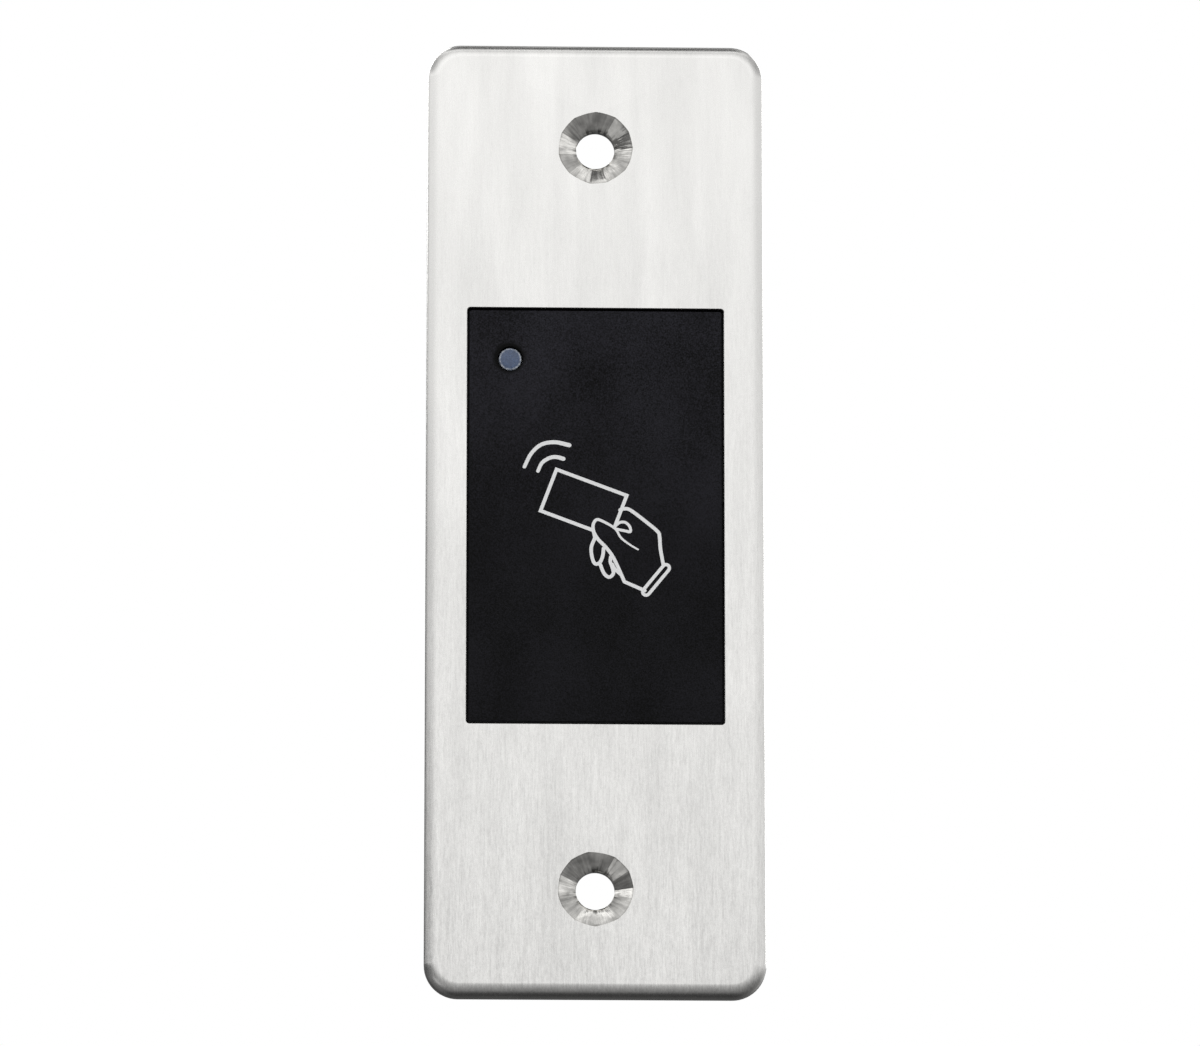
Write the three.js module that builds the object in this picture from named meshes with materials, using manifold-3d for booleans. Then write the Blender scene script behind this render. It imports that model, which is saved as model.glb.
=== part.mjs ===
// Flush card reader for a wall cut-out: a brushed steel face plate with a black reader unit behind it.
//
// Units are millimetres. Each piece is drawn as seen from the front of the reader: x to the right, y up and
// z out of the wall, with z = 0 on the back of the face plate, which is the face of the wall. The whole
// reader is then turned upright, so that up is +Z and the front looks along -Y.

import * as THREE from 'three';
import { mergeVertices } from 'three/addons/utils/BufferGeometryUtils.js';
import Module from 'manifold-3d';

// ---------------------------------------------------------------------------------------------------------
// Driving dimensions

const GAP = 0.05; // between pieces that rest on each other

const plate = {
  width: 40,
  height: 115,
  thickness: 2.5,
  cornerRadius: 4,
  edgeRadius: 1.2, // rounding of the front edge, all the way round
};
const opening = { width: 30.4, height: 50.2, cornerRadius: 0.4 }; // the window in the plate
const fixingHole = { spacing: 89.5, diameter: 4.6, sinkDiameter: 8.9, sinkDepth: 1.24 }; // a 120 degree cone

const film = { clearance: 0.3, thickness: 0.25, recess: 0.2 }; // recess is below the front of the plate
const lens = { x: -10.1, y: 18.9, diameter: 2.7, holeDiameter: 3.0, flangeDiameter: 4.4 };

const flange = { width: 36, height: 69.5, thickness: 2.2, cornerRadius: 2.5 };
const box = { width: 33.4, height: 57, wall: 1.7, cornerRadius: 2.2 };
const rib = { x: 7, reach: 4.5, depth: 4.5, thickness: 1.2 };
const nose = { clearance: 0.2, wall: 1.6, front: 1.95 }; // the part of the housing that fills the window
const pocket = { depth: 0.6, clearance: 0.3 }; // in the back of the plate, round the flange
const seal = { thickness: 0.4, width: 34.6, height: 58, inset: 0.35 };
const coverPost = { x: 12.9, y: 24.7, side: 5, boardClearance: 0.3 };
const cover = { thickness: 2, lipDepth: 1.2, lipWall: 1.3, lipClearance: 0.3 };

const board = { width: 29.4, height: 53, thickness: 1.6, cornerRadius: 0.8 };
const boardScrewY = 24.9;
const coil = { width: 24.5, height: 36, band: 2.5, thickness: 1.4, y: -3.5, cornerRadius: 6 };
const grommet = { y: -9, boreDiameter: 6.2, neckDiameter: 8.8, collarDiameter: 11.8, collar: 1.5 };
const label = { y: 11, width: 25, height: 21, thickness: 0.15, pocket: 0.3 };
const tamperWindow = { x: 6.5, y: -21.5, diameter: 5, flangeDiameter: 6.4 };

const flangeScrew = { x: 14.6, y: 31.6, diameter: 2.5, headDiameter: 4.5, headHeight: 1.5, length: 3.8 };
const coverScrew = { x: 12.7, y: 24.5, diameter: 2.2, headDiameter: 4, headHeight: 1.2, length: 7.5 };
const boardScrew = { diameter: 1.8, headDiameter: 3.4, headHeight: 1.1, length: 3.3 };

// Levels along z, from the front of the reader to the back.
const plateFront = plate.thickness;
const filmFront = plateFront - film.recess;
const noseFront = filmFront - film.thickness - GAP;
const noseInside = noseFront - nose.front;
const flangeFront = pocket.depth - seal.thickness - 2 * GAP;
const flangeBack = flangeFront - flange.thickness;
const boardSeat = flangeBack - 0.5;
const boardFront = boardSeat - GAP;
const boardBack = boardFront - board.thickness;
const boxRim = -15;
const coverSealBack = boxRim - GAP - seal.thickness;
const coverFront = coverSealBack - GAP;
const coverBack = coverFront - cover.thickness;
const coverScrewSeat = coverBack + 1; // the floor of the counterbore
const flangeScrewHoleTop = plateFront - 0.7;
const coverScrewHoleTop = coverScrewSeat + coverScrew.length;

// ---------------------------------------------------------------------------------------------------------
// Shapes and booleans

const wasm = await Module();
wasm.setup();

function toSolid(geometry) {
  const bare = geometry.clone();
  bare.deleteAttribute('normal');
  bare.deleteAttribute('uv');
  const merged = mergeVertices(bare);
  const vertProperties = merged.attributes.position.array;
  const triVerts = new Uint32Array(merged.index.array);
  return new wasm.Manifold(new wasm.Mesh({ numProp: 3, vertProperties, triVerts }));
}

function toGeometry(solid) {
  const { vertProperties, triVerts } = solid.getMesh();
  const geometry = new THREE.BufferGeometry();
  geometry.setAttribute('position', new THREE.BufferAttribute(vertProperties, 3));
  geometry.setIndex(new THREE.BufferAttribute(triVerts, 1));
  geometry.computeVertexNormals();
  return geometry;
}

// One closed geometry: the first one, joined with those in `add`, less those in `cut`.
function shaped(geometry, { add = [], cut = [] }) {
  let solid = toSolid(geometry);
  for (const more of add) solid = solid.add(toSolid(more));
  for (const less of cut) solid = solid.subtract(toSolid(less));
  return toGeometry(solid);
}

function roundedRectangle(width, height, radius) {
  const x = width / 2 - radius;
  const y = height / 2 - radius;
  const shape = new THREE.Shape();
  shape.absarc(x, y, radius, 0, Math.PI / 2);
  shape.absarc(-x, y, radius, Math.PI / 2, Math.PI);
  shape.absarc(-x, -y, radius, Math.PI, 1.5 * Math.PI);
  shape.absarc(x, -y, radius, 1.5 * Math.PI, 2 * Math.PI);
  shape.closePath();
  return shape;
}

function frameShape(outer, inner) {
  outer.holes.push(inner);
  return outer;
}

// A flat piece with the shape's outline, from z = back to z = front.
function slab(shape, back, front, curveSegments = 6) {
  const options = { depth: front - back, bevelEnabled: false, curveSegments };
  return new THREE.ExtrudeGeometry(shape, options).translate(0, 0, back);
}

function block(width, height, back, front, x = 0, y = 0) {
  return new THREE.BoxGeometry(width, height, front - back).translate(x, y, (back + front) / 2);
}

function rod(diameter, back, front, x = 0, y = 0, sides = 24) {
  const geometry = new THREE.CylinderGeometry(diameter / 2, diameter / 2, front - back, sides);
  return geometry.rotateX(Math.PI / 2).translate(x, y, (back + front) / 2);
}

// A round piece about the z axis, from a profile of [radius, z] points.
function turned(profile, sides = 24) {
  const points = profile.map(([radius, z]) => new THREE.Vector2(radius, z));
  return new THREE.LatheGeometry(points, sides).rotateX(Math.PI / 2);
}

const fourCorners = ({ x, y }) => [[x, y], [-x, y], [-x, -y], [x, -y]];

// Cutters for screw holes, and square blocks at the four posts.
const screwHoles = (screw, back, front, diameter) =>
  fourCorners(screw).map(([x, y]) => rod(diameter, back, front, x, y, 16));
const boardScrewHoles = (diameter, back, front) =>
  [1, -1].map((end) => rod(diameter, back, front, 0, end * boardScrewY, 16));
const postBlocks = (side, back, front) =>
  fourCorners(coverPost).map(([x, y]) => block(side, side, back, front, x, y));

// ---------------------------------------------------------------------------------------------------------
// Materials

const material = (color, roughness, metalness = 0) =>
  new THREE.MeshStandardMaterial({ color, roughness, metalness });

const brushedSteel = material('#d4d3d0', 0.36, 1);
const zincSteel = material('#b9bcc0', 0.3, 1);
const blackShell = material('#1b1b1d', 0.6);
const blackFilm = material('#1a1a1c', 0.5);
const blackRubber = material('#141414', 0.85);
const clearPlastic = material('#b9c6d6', 0.15);
const whiteLabel = material('#e8e8e4', 0.6);
const greenBoard = material('#0f4a2c', 0.4);
const copperWire = material('#b4622f', 0.35, 1);
const chipPlastic = material('#202022', 0.55);
const tinnedCan = material('#c9cacb', 0.25, 1);
const whitePlastic = material('#e6e1d2', 0.5);
const ceramicTan = material('#b49a72', 0.6);

function piece(name, geometry, finish, x = 0, y = 0, z = 0) {
  const mesh = new THREE.Mesh(geometry, finish);
  mesh.name = name;
  mesh.position.set(x, y, z);
  return mesh;
}

// ---------------------------------------------------------------------------------------------------------
// Face plate, with its countersunk fixing holes, a shallow pocket in its back that locates the housing, and
// the blind holes that the housing is screwed to

function fixingHoleCutter(y) {
  const radius = fixingHole.diameter / 2;
  const sinkRadius = fixingHole.sinkDiameter / 2;
  const slope = (sinkRadius - radius) / fixingHole.sinkDepth;
  const over = 1; // how far the cutter stands proud of both faces
  const profile = [
    [0, -over],
    [radius, -over],
    [radius, plateFront - fixingHole.sinkDepth],
    [sinkRadius, plateFront],
    [sinkRadius + over * slope, plateFront + over],
    [0, plateFront + over],
  ];
  return turned(profile, 32).translate(0, y, 0);
}

function facePlate() {
  const { width, height, thickness, cornerRadius, edgeRadius } = plate;
  const outline = roundedRectangle(width, height, cornerRadius);
  const options = {
    depth: thickness,
    bevelThickness: edgeRadius,
    bevelSize: edgeRadius,
    bevelOffset: -edgeRadius,
    bevelSegments: 4,
    curveSegments: 6,
  };
  // Rounded at both ends, and longer than the plate, so that the back half can be cut off flat.
  const rounded = new THREE.ExtrudeGeometry(outline, options).translate(0, 0, -edgeRadius);
  const behind = block(2 * width, 2 * height, -2 * thickness, 0);
  const windowOutline = roundedRectangle(opening.width, opening.height, opening.cornerRadius);
  const window = slab(windowOutline, -1, thickness + 1);
  const pocketWidth = flange.width + 2 * pocket.clearance;
  const pocketHeight = flange.height + 2 * pocket.clearance;
  const pocketOutline = roundedRectangle(pocketWidth, pocketHeight, flange.cornerRadius);
  const housingPocket = slab(pocketOutline, -1, pocket.depth);
  const holes = [fixingHoleCutter(fixingHole.spacing / 2), fixingHoleCutter(-fixingHole.spacing / 2)];
  const blindHoles = screwHoles(flangeScrew, -1, flangeScrewHoleTop, flangeScrew.diameter + 2 * GAP);
  const cuts = [behind, window, housingPocket, ...holes, ...blindHoles];
  return piece('face_plate', shaped(rounded, { cut: cuts }), brushedSteel);
}

// ---------------------------------------------------------------------------------------------------------
// Housing: a nose that fills the window, a flange behind the plate, and a box for the electronics

function frontFilm() {
  const width = opening.width - 2 * film.clearance;
  const height = opening.height - 2 * film.clearance;
  const sheet = slab(roundedRectangle(width, height, 0.3), filmFront - film.thickness, filmFront, 3);
  const ledHole = rod(lens.holeDiameter, filmFront - 1, filmFront + 1, lens.x, lens.y);
  return piece('front_film', shaped(sheet, { cut: [ledHole] }), blackFilm);
}

// Ribs that stiffen the two ears of the flange. Each is drawn reaching along +x from the box's wall, with its
// depth along y, and is then stood up and pointed up or down.
function ribs() {
  const { depth, reach, thickness, x: ribX } = rib;
  const outline = new THREE.Shape();
  outline.moveTo(-1, 1);
  outline.lineTo(reach, 1);
  outline.lineTo(reach, 0);
  outline.lineTo(0, -depth);
  outline.lineTo(-1, -depth);
  outline.closePath();
  const made = [];
  for (const x of [-ribX, ribX]) {
    for (const end of [1, -1]) {
      const web = new THREE.ExtrudeGeometry(outline, { depth: thickness, bevelEnabled: false });
      web.translate(0, 0, -thickness / 2).rotateX(Math.PI / 2).rotateZ((end * Math.PI) / 2);
      made.push(web.translate(x, (end * box.height) / 2, flangeBack));
    }
  }
  return made;
}

function frontHousing() {
  const noseWidth = opening.width - 2 * nose.clearance;
  const noseHeight = opening.height - 2 * nose.clearance;
  const noseBlock = slab(roundedRectangle(noseWidth, noseHeight, 0.3), flangeFront - 1, noseFront, 3);
  const flangeOutline = roundedRectangle(flange.width, flange.height, flange.cornerRadius);
  const flangePlate = slab(flangeOutline, flangeBack, flangeFront);
  const boxBlock = slab(roundedRectangle(box.width, box.height, box.cornerRadius), boxRim, flangeBack + 1);

  const noseInWidth = noseWidth - 2 * nose.wall;
  const noseInHeight = noseHeight - 2 * nose.wall;
  const noseCavity = block(noseInWidth, noseInHeight, boardSeat - 1, noseInside);
  const cavityOutline = roundedRectangle(box.width - 2 * box.wall, box.height - 2 * box.wall, 0.6);
  const boxCavity = slab(cavityOutline, boxRim - 1, boardSeat, 3);
  const posts = postBlocks(coverPost.side, boxRim, boardSeat + 0.5);

  const ledHole = rod(lens.holeDiameter, noseInside - 1, noseFront + 1, lens.x, lens.y);
  const flangeHoles = screwHoles(flangeScrew, flangeBack - 1, flangeFront + 1, flangeScrew.diameter + 0.4);
  const postHoles = screwHoles(coverScrew, boxRim - 1, coverScrewHoleTop, coverScrew.diameter + 2 * GAP);
  const boardHoles = boardScrewHoles(boardScrew.diameter + 2 * GAP, boardSeat - 1, boardSeat + 1.9);

  const hollow = shaped(noseBlock, { add: [flangePlate, boxBlock, ...ribs()], cut: [noseCavity, boxCavity] });
  const whole = shaped(hollow, { add: posts, cut: [ledHole, ...flangeHoles, ...postHoles, ...boardHoles] });
  return piece('front_housing', whole, blackShell);
}

function windowSeal() {
  const inner = roundedRectangle(opening.width + 2 * seal.inset, opening.height + 2 * seal.inset, 0.6);
  const outline = frameShape(roundedRectangle(seal.width, seal.height, 2), inner);
  return piece('window_seal', slab(outline, flangeFront + GAP, pocket.depth - GAP, 4), blackRubber);
}

function coverSeal() {
  const outer = roundedRectangle(box.width - 0.6, box.height - 0.6, box.cornerRadius - 0.3);
  const inner = roundedRectangle(box.width - 2 * box.wall + 0.2, box.height - 2 * box.wall + 0.2, 0.7);
  return piece('cover_seal', slab(frameShape(outer, inner), coverSealBack, boxRim - GAP, 4), blackRubber);
}

function rearCover() {
  const sheet = slab(roundedRectangle(box.width, box.height, box.cornerRadius), coverBack, coverFront);

  // A lip that enters the box, broken at the four screw posts.
  const lipWidth = box.width - 2 * box.wall - 2 * cover.lipClearance;
  const lipHeight = box.height - 2 * box.wall - 2 * cover.lipClearance;
  const lipInner = roundedRectangle(lipWidth - 2 * cover.lipWall, lipHeight - 2 * cover.lipWall, 0.4);
  const lipShape = frameShape(roundedRectangle(lipWidth, lipHeight, 0.5), lipInner);
  const lip = slab(lipShape, coverFront - 0.5, coverFront + cover.lipDepth, 3);
  const postNotches = postBlocks(coverPost.side + 0.8, coverFront, 0);
  const lipped = shaped(sheet, { add: [lip], cut: postNotches });

  const back = coverBack - 1;
  const front = coverFront + 1;
  const shankHoles = screwHoles(coverScrew, back, front, coverScrew.diameter + 0.4);
  const headHoles = screwHoles(coverScrew, back, coverScrewSeat, coverScrew.headDiameter + 0.5);
  const cableHole = rod(grommet.neckDiameter + 0.2, back, front, 0, grommet.y);
  const lightHole = rod(tamperWindow.diameter + 2 * GAP, back, front, tamperWindow.x, tamperWindow.y);
  const labelOutline = roundedRectangle(label.width + 1, label.height + 1, 1);
  const labelPocket = slab(labelOutline, back, coverBack + label.pocket, 4).translate(0, label.y, 0);
  const cut = [...shankHoles, ...headHoles, cableHole, lightHole, labelPocket];
  return piece('rear_cover', shaped(lipped, { cut }), blackShell);
}

function cableGrommet() {
  const bore = grommet.boreDiameter / 2;
  const neck = grommet.neckDiameter / 2;
  const collar = grommet.collarDiameter / 2;
  const outside = coverBack - GAP;
  const inside = coverFront + GAP;
  const profile = [
    [bore, outside - grommet.collar],
    [collar - 1.2, outside - grommet.collar],
    [collar, outside - 0.6],
    [collar, outside],
    [neck, outside],
    [neck, inside],
    [collar - 0.6, inside],
    [collar - 1, inside + 1],
    [bore, inside + 1],
    [bore, outside - grommet.collar],
  ];
  return piece('cable_grommet', turned(profile, 24), blackRubber, 0, grommet.y);
}

function wiringLabel() {
  const front = coverBack + label.pocket - GAP;
  const sheet = slab(roundedRectangle(label.width, label.height, 0.8), front - label.thickness, front, 3);
  return piece('wiring_label', sheet, whiteLabel, 0, label.y);
}

// A clear plug in the rear cover, in front of the light sensor.
function tamperLens() {
  const radius = tamperWindow.diameter / 2;
  const flangeRadius = tamperWindow.flangeDiameter / 2;
  const profile = [
    [0, coverBack + 0.1],
    [radius - 0.2, coverBack + 0.1],
    [radius, coverBack + 0.3],
    [radius, coverFront + GAP],
    [flangeRadius, coverFront + GAP],
    [flangeRadius, coverFront + 0.7],
    [0, coverFront + 0.7],
  ];
  return piece('tamper_window', turned(profile), clearPlastic, tamperWindow.x, tamperWindow.y);
}

// ---------------------------------------------------------------------------------------------------------
// Indicator: a light pipe in the nose, over a lamp on the front of the board

function lightPipe() {
  const radius = lens.diameter / 2;
  const flangeRadius = lens.flangeDiameter / 2;
  const flangeTop = noseInside - GAP;
  const profile = [
    [0, boardFront + 1.6],
    [radius, boardFront + 1.6],
    [radius, flangeTop - 0.8],
    [flangeRadius, flangeTop - 0.8],
    [flangeRadius, flangeTop],
    [radius, flangeTop],
    [radius, filmFront - 0.3],
    [radius * 0.7, filmFront - 0.16],
    [0, filmFront - 0.1],
  ];
  return piece('led_light_pipe', turned(profile), clearPlastic, lens.x, lens.y);
}

function indicatorLamp() {
  const lampBody = block(3.5, 2.8, 0, 1.1);
  const lampFace = rod(2.3, 1, 1.3);
  const lamp = shaped(lampBody, { add: [lampFace] });
  return piece('indicator_led', lamp, whitePlastic, lens.x, lens.y, boardFront + GAP);
}

// ---------------------------------------------------------------------------------------------------------
// Antenna: a flat wound coil glued behind the nose, with two tails down to the board

function antennaCoil() {
  const { width, height, band, cornerRadius } = coil;
  const inner = roundedRectangle(width - 2 * band, height - 2 * band, cornerRadius - band);
  const outline = frameShape(roundedRectangle(width, height, cornerRadius), inner);
  const front = noseInside - 0.1;
  return piece('antenna_coil', slab(outline, front - coil.thickness, front), copperWire, 0, coil.y);
}

function antennaTail(name, side) {
  const bottom = coil.y - coil.height / 2 + coil.band / 2;
  const coilBack = noseInside - 0.1 - coil.thickness;
  const drop = coilBack - boardFront;
  const route = new THREE.CatmullRomCurve3([
    new THREE.Vector3(side * 1.2, bottom, coilBack - 2 * GAP),
    new THREE.Vector3(side * 1.2, bottom + 0.1, coilBack - 0.35 * drop),
    new THREE.Vector3(side * 1.4, bottom + 0.7, boardFront + 0.35 * drop),
    new THREE.Vector3(side * 1.4, bottom + 0.8, boardFront + 2 * GAP),
  ]);
  const section = new THREE.Shape().absarc(0, 0, 0.15, 0, 2 * Math.PI);
  const wire = new THREE.ExtrudeGeometry(section, { steps: 8, extrudePath: route, curveSegments: 4 });
  return piece(name, wire, copperWire);
}

// ---------------------------------------------------------------------------------------------------------
// Circuit board and what is soldered to the back of it.
// Each component is drawn standing on z = 0 and is placed as seen from behind, with x to the right.

function circuitBoard() {
  const outline = roundedRectangle(board.width, board.height, board.cornerRadius);
  const sheet = slab(outline, boardBack, boardFront, 3);
  const notchSide = coverPost.side + 2 * coverPost.boardClearance;
  const notches = postBlocks(notchSide, boardBack - 1, boardFront + 1);
  const holes = boardScrewHoles(boardScrew.diameter + 0.3, boardBack - 1, boardFront + 1);
  return piece('circuit_board', shaped(sheet, { cut: [...notches, ...holes] }), greenBoard);
}

// One lead, bent down to the board, that leaves the body at the distance `from` along +x.
function gullWingLead(from, height, width) {
  const thickness = 0.18;
  const shape = new THREE.Shape();
  shape.moveTo(from - 0.3, height);
  shape.lineTo(from - 0.3, height - thickness);
  shape.lineTo(from + 0.2, height - thickness);
  shape.lineTo(from + 0.4, 0);
  shape.lineTo(from + 1, 0);
  shape.lineTo(from + 1, thickness);
  shape.lineTo(from + 0.55, thickness);
  shape.lineTo(from + 0.35, height);
  shape.closePath();
  const lead = new THREE.ExtrudeGeometry(shape, { depth: width, bevelEnabled: false });
  return lead.translate(0, 0, -width / 2).rotateX(Math.PI / 2);
}

// A chip with leads on two or four sides, longer along y.
function chip({ width, length, height, leads, pitch, leadWidth, sides }) {
  const standOff = 0.1;
  const body = block(width, length, standOff, standOff + height);
  const pinOneDimple = rod(0.9, height, height + 1, -width / 2 + 1.1, length / 2 - 1.1, 12);
  const wings = [];
  for (let side = 0; side < 4; side += 4 / sides) {
    const edge = side % 2 ? length / 2 : width / 2;
    for (let i = 0; i < leads; i++) {
      const lead = gullWingLead(edge, height / 2 + standOff, leadWidth);
      wings.push(lead.translate(0, (i - (leads - 1) / 2) * pitch, 0).rotateZ((side * Math.PI) / 2));
    }
  }
  return shaped(body, { add: wings, cut: [pinOneDimple] });
}

const microcontrollerChip = () =>
  chip({ width: 7, length: 7, height: 1.4, leads: 8, pitch: 0.8, leadWidth: 0.35, sides: 4 });
const radioChip = () =>
  chip({ width: 3.9, length: 9.9, height: 1.5, leads: 8, pitch: 1.27, leadWidth: 0.42, sides: 2 });
const transistorChip = () =>
  chip({ width: 1.4, length: 3, height: 1.1, leads: 2, pitch: 1.9, leadWidth: 0.42, sides: 2 });

function regulatorPackage() {
  const body = block(6.5, 6.1, 0.05, 2.3);
  const heatTab = block(5.4, 2.2, 0, 0.6, 0, 3.6);
  const legs = [-2.3, 2.3].map((x) =>
    gullWingLead(3.05, 1.1, 0.8).rotateZ(-Math.PI / 2).translate(x, 0, 0));
  return shaped(body, { add: [heatTab, ...legs] });
}

function electrolyticCan() {
  const base = slab(roundedRectangle(6.6, 6.6, 0.9), 0, 0.9, 1);
  const can = turned([[0, 0.5], [2.8, 0.5], [3.1, 1.4], [3.1, 5.5], [2.8, 5.8], [0, 5.8]]);
  return shaped(base, { add: [can] });
}

function crystalCan() {
  const base = slab(roundedRectangle(11.4, 4.7, 2.3), 0, 0.5);
  const can = slab(roundedRectangle(10.3, 3.7, 1.8), 0.3, 3.5);
  return shaped(base, { add: [can] });
}

function shieldedInductor() {
  const body = slab(roundedRectangle(6, 6, 1.2), 0.1, 2.9, 1);
  const pads = [-2.4, 2.4].map((x) => block(1.6, 3.4, 0, 0.4, x, 0));
  const core = rod(4.2, 2.4, 3.1, 0, 0, 16);
  return shaped(body, { add: [...pads, core] });
}

function soundBuzzer() {
  const can = turned([[0, 0], [5.9, 0], [6, 0.2], [6, 6.2], [5.7, 6.5], [0, 6.5]], 32);
  return shaped(can, { cut: [rod(2.2, 5, 8, 0, 0, 16)] });
}

// An eight way wire header: an open box with a keyed wall, and a row of square pins.
function wireHeader() {
  const ways = 8;
  const pitch = 2;
  const length = ways * pitch + 2.2;
  const body = block(length, 5, 0, 6);
  const hollow = block(length - 1.6, 3.6, 1.4, 7);
  const keySlots = [-1, 1].map((side) => block(1.6, 2, 2, 7, side * 5, -2.4));
  const pins = [];
  for (let i = 0; i < ways; i++) pins.push(block(0.5, 0.5, 1, 5, (i - (ways - 1) / 2) * pitch, 0.3));
  return shaped(shaped(body, { cut: [hollow, ...keySlots] }), { add: pins });
}

// A light dependent resistor on two stiff leads, close behind the clear plug in the cover.
function lightSensor() {
  const top = boardBack - coverFront - 0.9; // from the back of the board
  const back = top - 2;
  const head = turned([[0, back], [2.4, back], [2.5, back + 0.2], [2.5, top - 0.2], [2.4, top], [0, top]]);
  const leads = [-1.7, 1.7].map((x) => rod(0.5, GAP, top - 1.5, x, 0, 8));
  return shaped(head, { add: leads });
}

const diodePackage = () => shaped(block(4.3, 2.6, 0.1, 2.2), { add: [block(5.1, 1.5, 0, 0.9)] });
const chipResistor = () => block(2, 1.25, 0, 0.55);
const chipCapacitor = () => block(2, 1.25, 0, 1.2);

// Each row: name, geometry, finish, x, y, quarter turns.
function componentRows() {
  const rows = [
    ['wire_header', wireHeader(), whitePlastic, 0, 19.3, 0],
    ['microcontroller', microcontrollerChip(), chipPlastic, -0.5, 2.5, 0],
    ['rf_front_end', radioChip(), chipPlastic, -9.5, 2.5, 0],
    ['crystal', crystalCan(), tinnedCan, 4, 11.3, 0],
    ['power_inductor', shieldedInductor(), chipPlastic, 9.8, 2, 0],
    ['voltage_regulator', regulatorPackage(), chipPlastic, 9.4, -8, 0],
    ['electrolytic_capacitor', electrolyticCan(), tinnedCan, 9.6, -17.4, 0],
    ['buzzer', soundBuzzer(), chipPlastic, -7.2, -12.5, 0],
    ['tamper_light_sensor', lightSensor(), ceramicTan, -tamperWindow.x, tamperWindow.y, 0],
  ];
  // Small components in numbered rows, each row at an even pitch.
  const row = (count, first, name, make, finish, x, y, stepX, stepY, turns) => {
    for (let i = 0; i < count; i++) {
      rows.push([`${name}_${first + i}`, make(), finish, x + i * stepX, y + i * stepY, turns]);
    }
  };
  row(2, 1, 'diode', diodePackage, chipPlastic, -8.5, 10.7, 0, 3.4, 0);
  row(2, 1, 'transistor', transistorChip, chipPlastic, 2.2, -8.5, 0, -4, 0);
  row(3, 1, 'resistor', chipResistor, chipPlastic, 2.6, -16, 0, -2.2, 0);
  row(3, 4, 'resistor', chipResistor, chipPlastic, -1.5, -4.8, 2.2, 0, 1);
  row(3, 1, 'ceramic_capacitor', chipCapacitor, ceramicTan, 5.5, -1, 0, 3, 1);
  return rows;
}

function boardComponents() {
  const group = new THREE.Group();
  group.position.z = boardBack - GAP;
  group.rotation.y = Math.PI;
  for (const [name, geometry, finish, x, y, quarterTurns] of componentRows()) {
    const mesh = piece(name, geometry, finish, x, y);
    mesh.rotation.z = (quarterTurns * Math.PI) / 2;
    group.add(mesh);
  }
  return group;
}

// ---------------------------------------------------------------------------------------------------------
// Screws, driven from behind: the head rests at z = 0 and the shank points towards the front

function panHeadScrew({ diameter, headDiameter, headHeight, length }) {
  const radius = diameter / 2;
  const head = headDiameter / 2;
  const profile = [
    [0, -headHeight],
    [head * 0.55, -headHeight * 0.96],
    [head * 0.86, -headHeight * 0.7],
    [head, -headHeight * 0.3],
    [head, 0],
    [radius, 0],
    [radius, length - 0.4],
    [radius - 0.35, length],
    [0, length],
  ];
  const slotDepth = headHeight * 0.6;
  const slots = [
    block(headDiameter * 0.55, headDiameter * 0.14, -headHeight - 1, slotDepth - headHeight),
    block(headDiameter * 0.14, headDiameter * 0.55, -headHeight - 1, slotDepth - headHeight),
  ];
  return shaped(turned(profile, 14), { cut: slots });
}

function screws() {
  const set = (name, screw, places, seat) =>
    places.map(([x, y], i) => piece(`${name}_${i + 1}`, panHeadScrew(screw), zincSteel, x, y, seat - GAP));
  return [
    ...set('housing_screw', flangeScrew, fourCorners(flangeScrew), flangeBack),
    ...set('cover_screw', coverScrew, fourCorners(coverScrew), coverScrewSeat),
    ...set('board_screw', boardScrew, [[0, boardScrewY], [0, -boardScrewY]], boardBack),
  ];
}

// ---------------------------------------------------------------------------------------------------------
// The reader

const reader = new THREE.Group();
reader.name = 'card_reader';
reader.rotation.x = Math.PI / 2; // from "z out of the wall" to "z up, front along -y"
reader.add(
  facePlate(),
  frontFilm(),
  frontHousing(),
  windowSeal(),
  coverSeal(),
  rearCover(),
  cableGrommet(),
  wiringLabel(),
  tamperLens(),
  lightPipe(),
  indicatorLamp(),
  antennaCoil(),
  antennaTail('antenna_tail_1', -1),
  antennaTail('antenna_tail_2', 1),
  circuitBoard(),
  boardComponents(),
  ...screws(),
);

export default reader;
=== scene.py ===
"""The looks of a flush card reader: a brushed steel face plate with a black reader unit behind its window.

The drawing frame is the one that a person facing the reader sees: x to the right, y up and h out of the wall,
in millimetres, with h = 0 on the back of the plate. at() turns it into the row's frame, in metres.
"""

import random
from math import cos, pi, radians, sin, sqrt

import bmesh
import bpy
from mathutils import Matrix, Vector
from mathutils.geometry import delaunay_2d_cdt


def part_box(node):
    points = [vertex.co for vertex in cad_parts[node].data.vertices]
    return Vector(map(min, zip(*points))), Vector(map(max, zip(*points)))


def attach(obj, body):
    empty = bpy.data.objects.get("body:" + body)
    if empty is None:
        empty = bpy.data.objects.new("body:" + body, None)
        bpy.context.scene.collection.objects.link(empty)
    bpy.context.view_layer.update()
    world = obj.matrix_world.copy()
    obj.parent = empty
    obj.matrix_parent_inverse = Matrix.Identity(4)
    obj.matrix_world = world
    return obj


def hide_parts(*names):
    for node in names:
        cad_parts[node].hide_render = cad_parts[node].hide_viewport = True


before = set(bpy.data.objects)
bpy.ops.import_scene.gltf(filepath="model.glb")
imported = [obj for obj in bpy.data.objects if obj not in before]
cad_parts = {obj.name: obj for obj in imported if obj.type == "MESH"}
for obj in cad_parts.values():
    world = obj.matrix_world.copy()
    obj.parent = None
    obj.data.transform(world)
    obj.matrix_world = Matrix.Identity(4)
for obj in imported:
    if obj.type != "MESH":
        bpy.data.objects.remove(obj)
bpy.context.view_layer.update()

MM = 0.001


def at(x, y, h):
    return Vector((x, -h, y)) * MM


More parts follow.
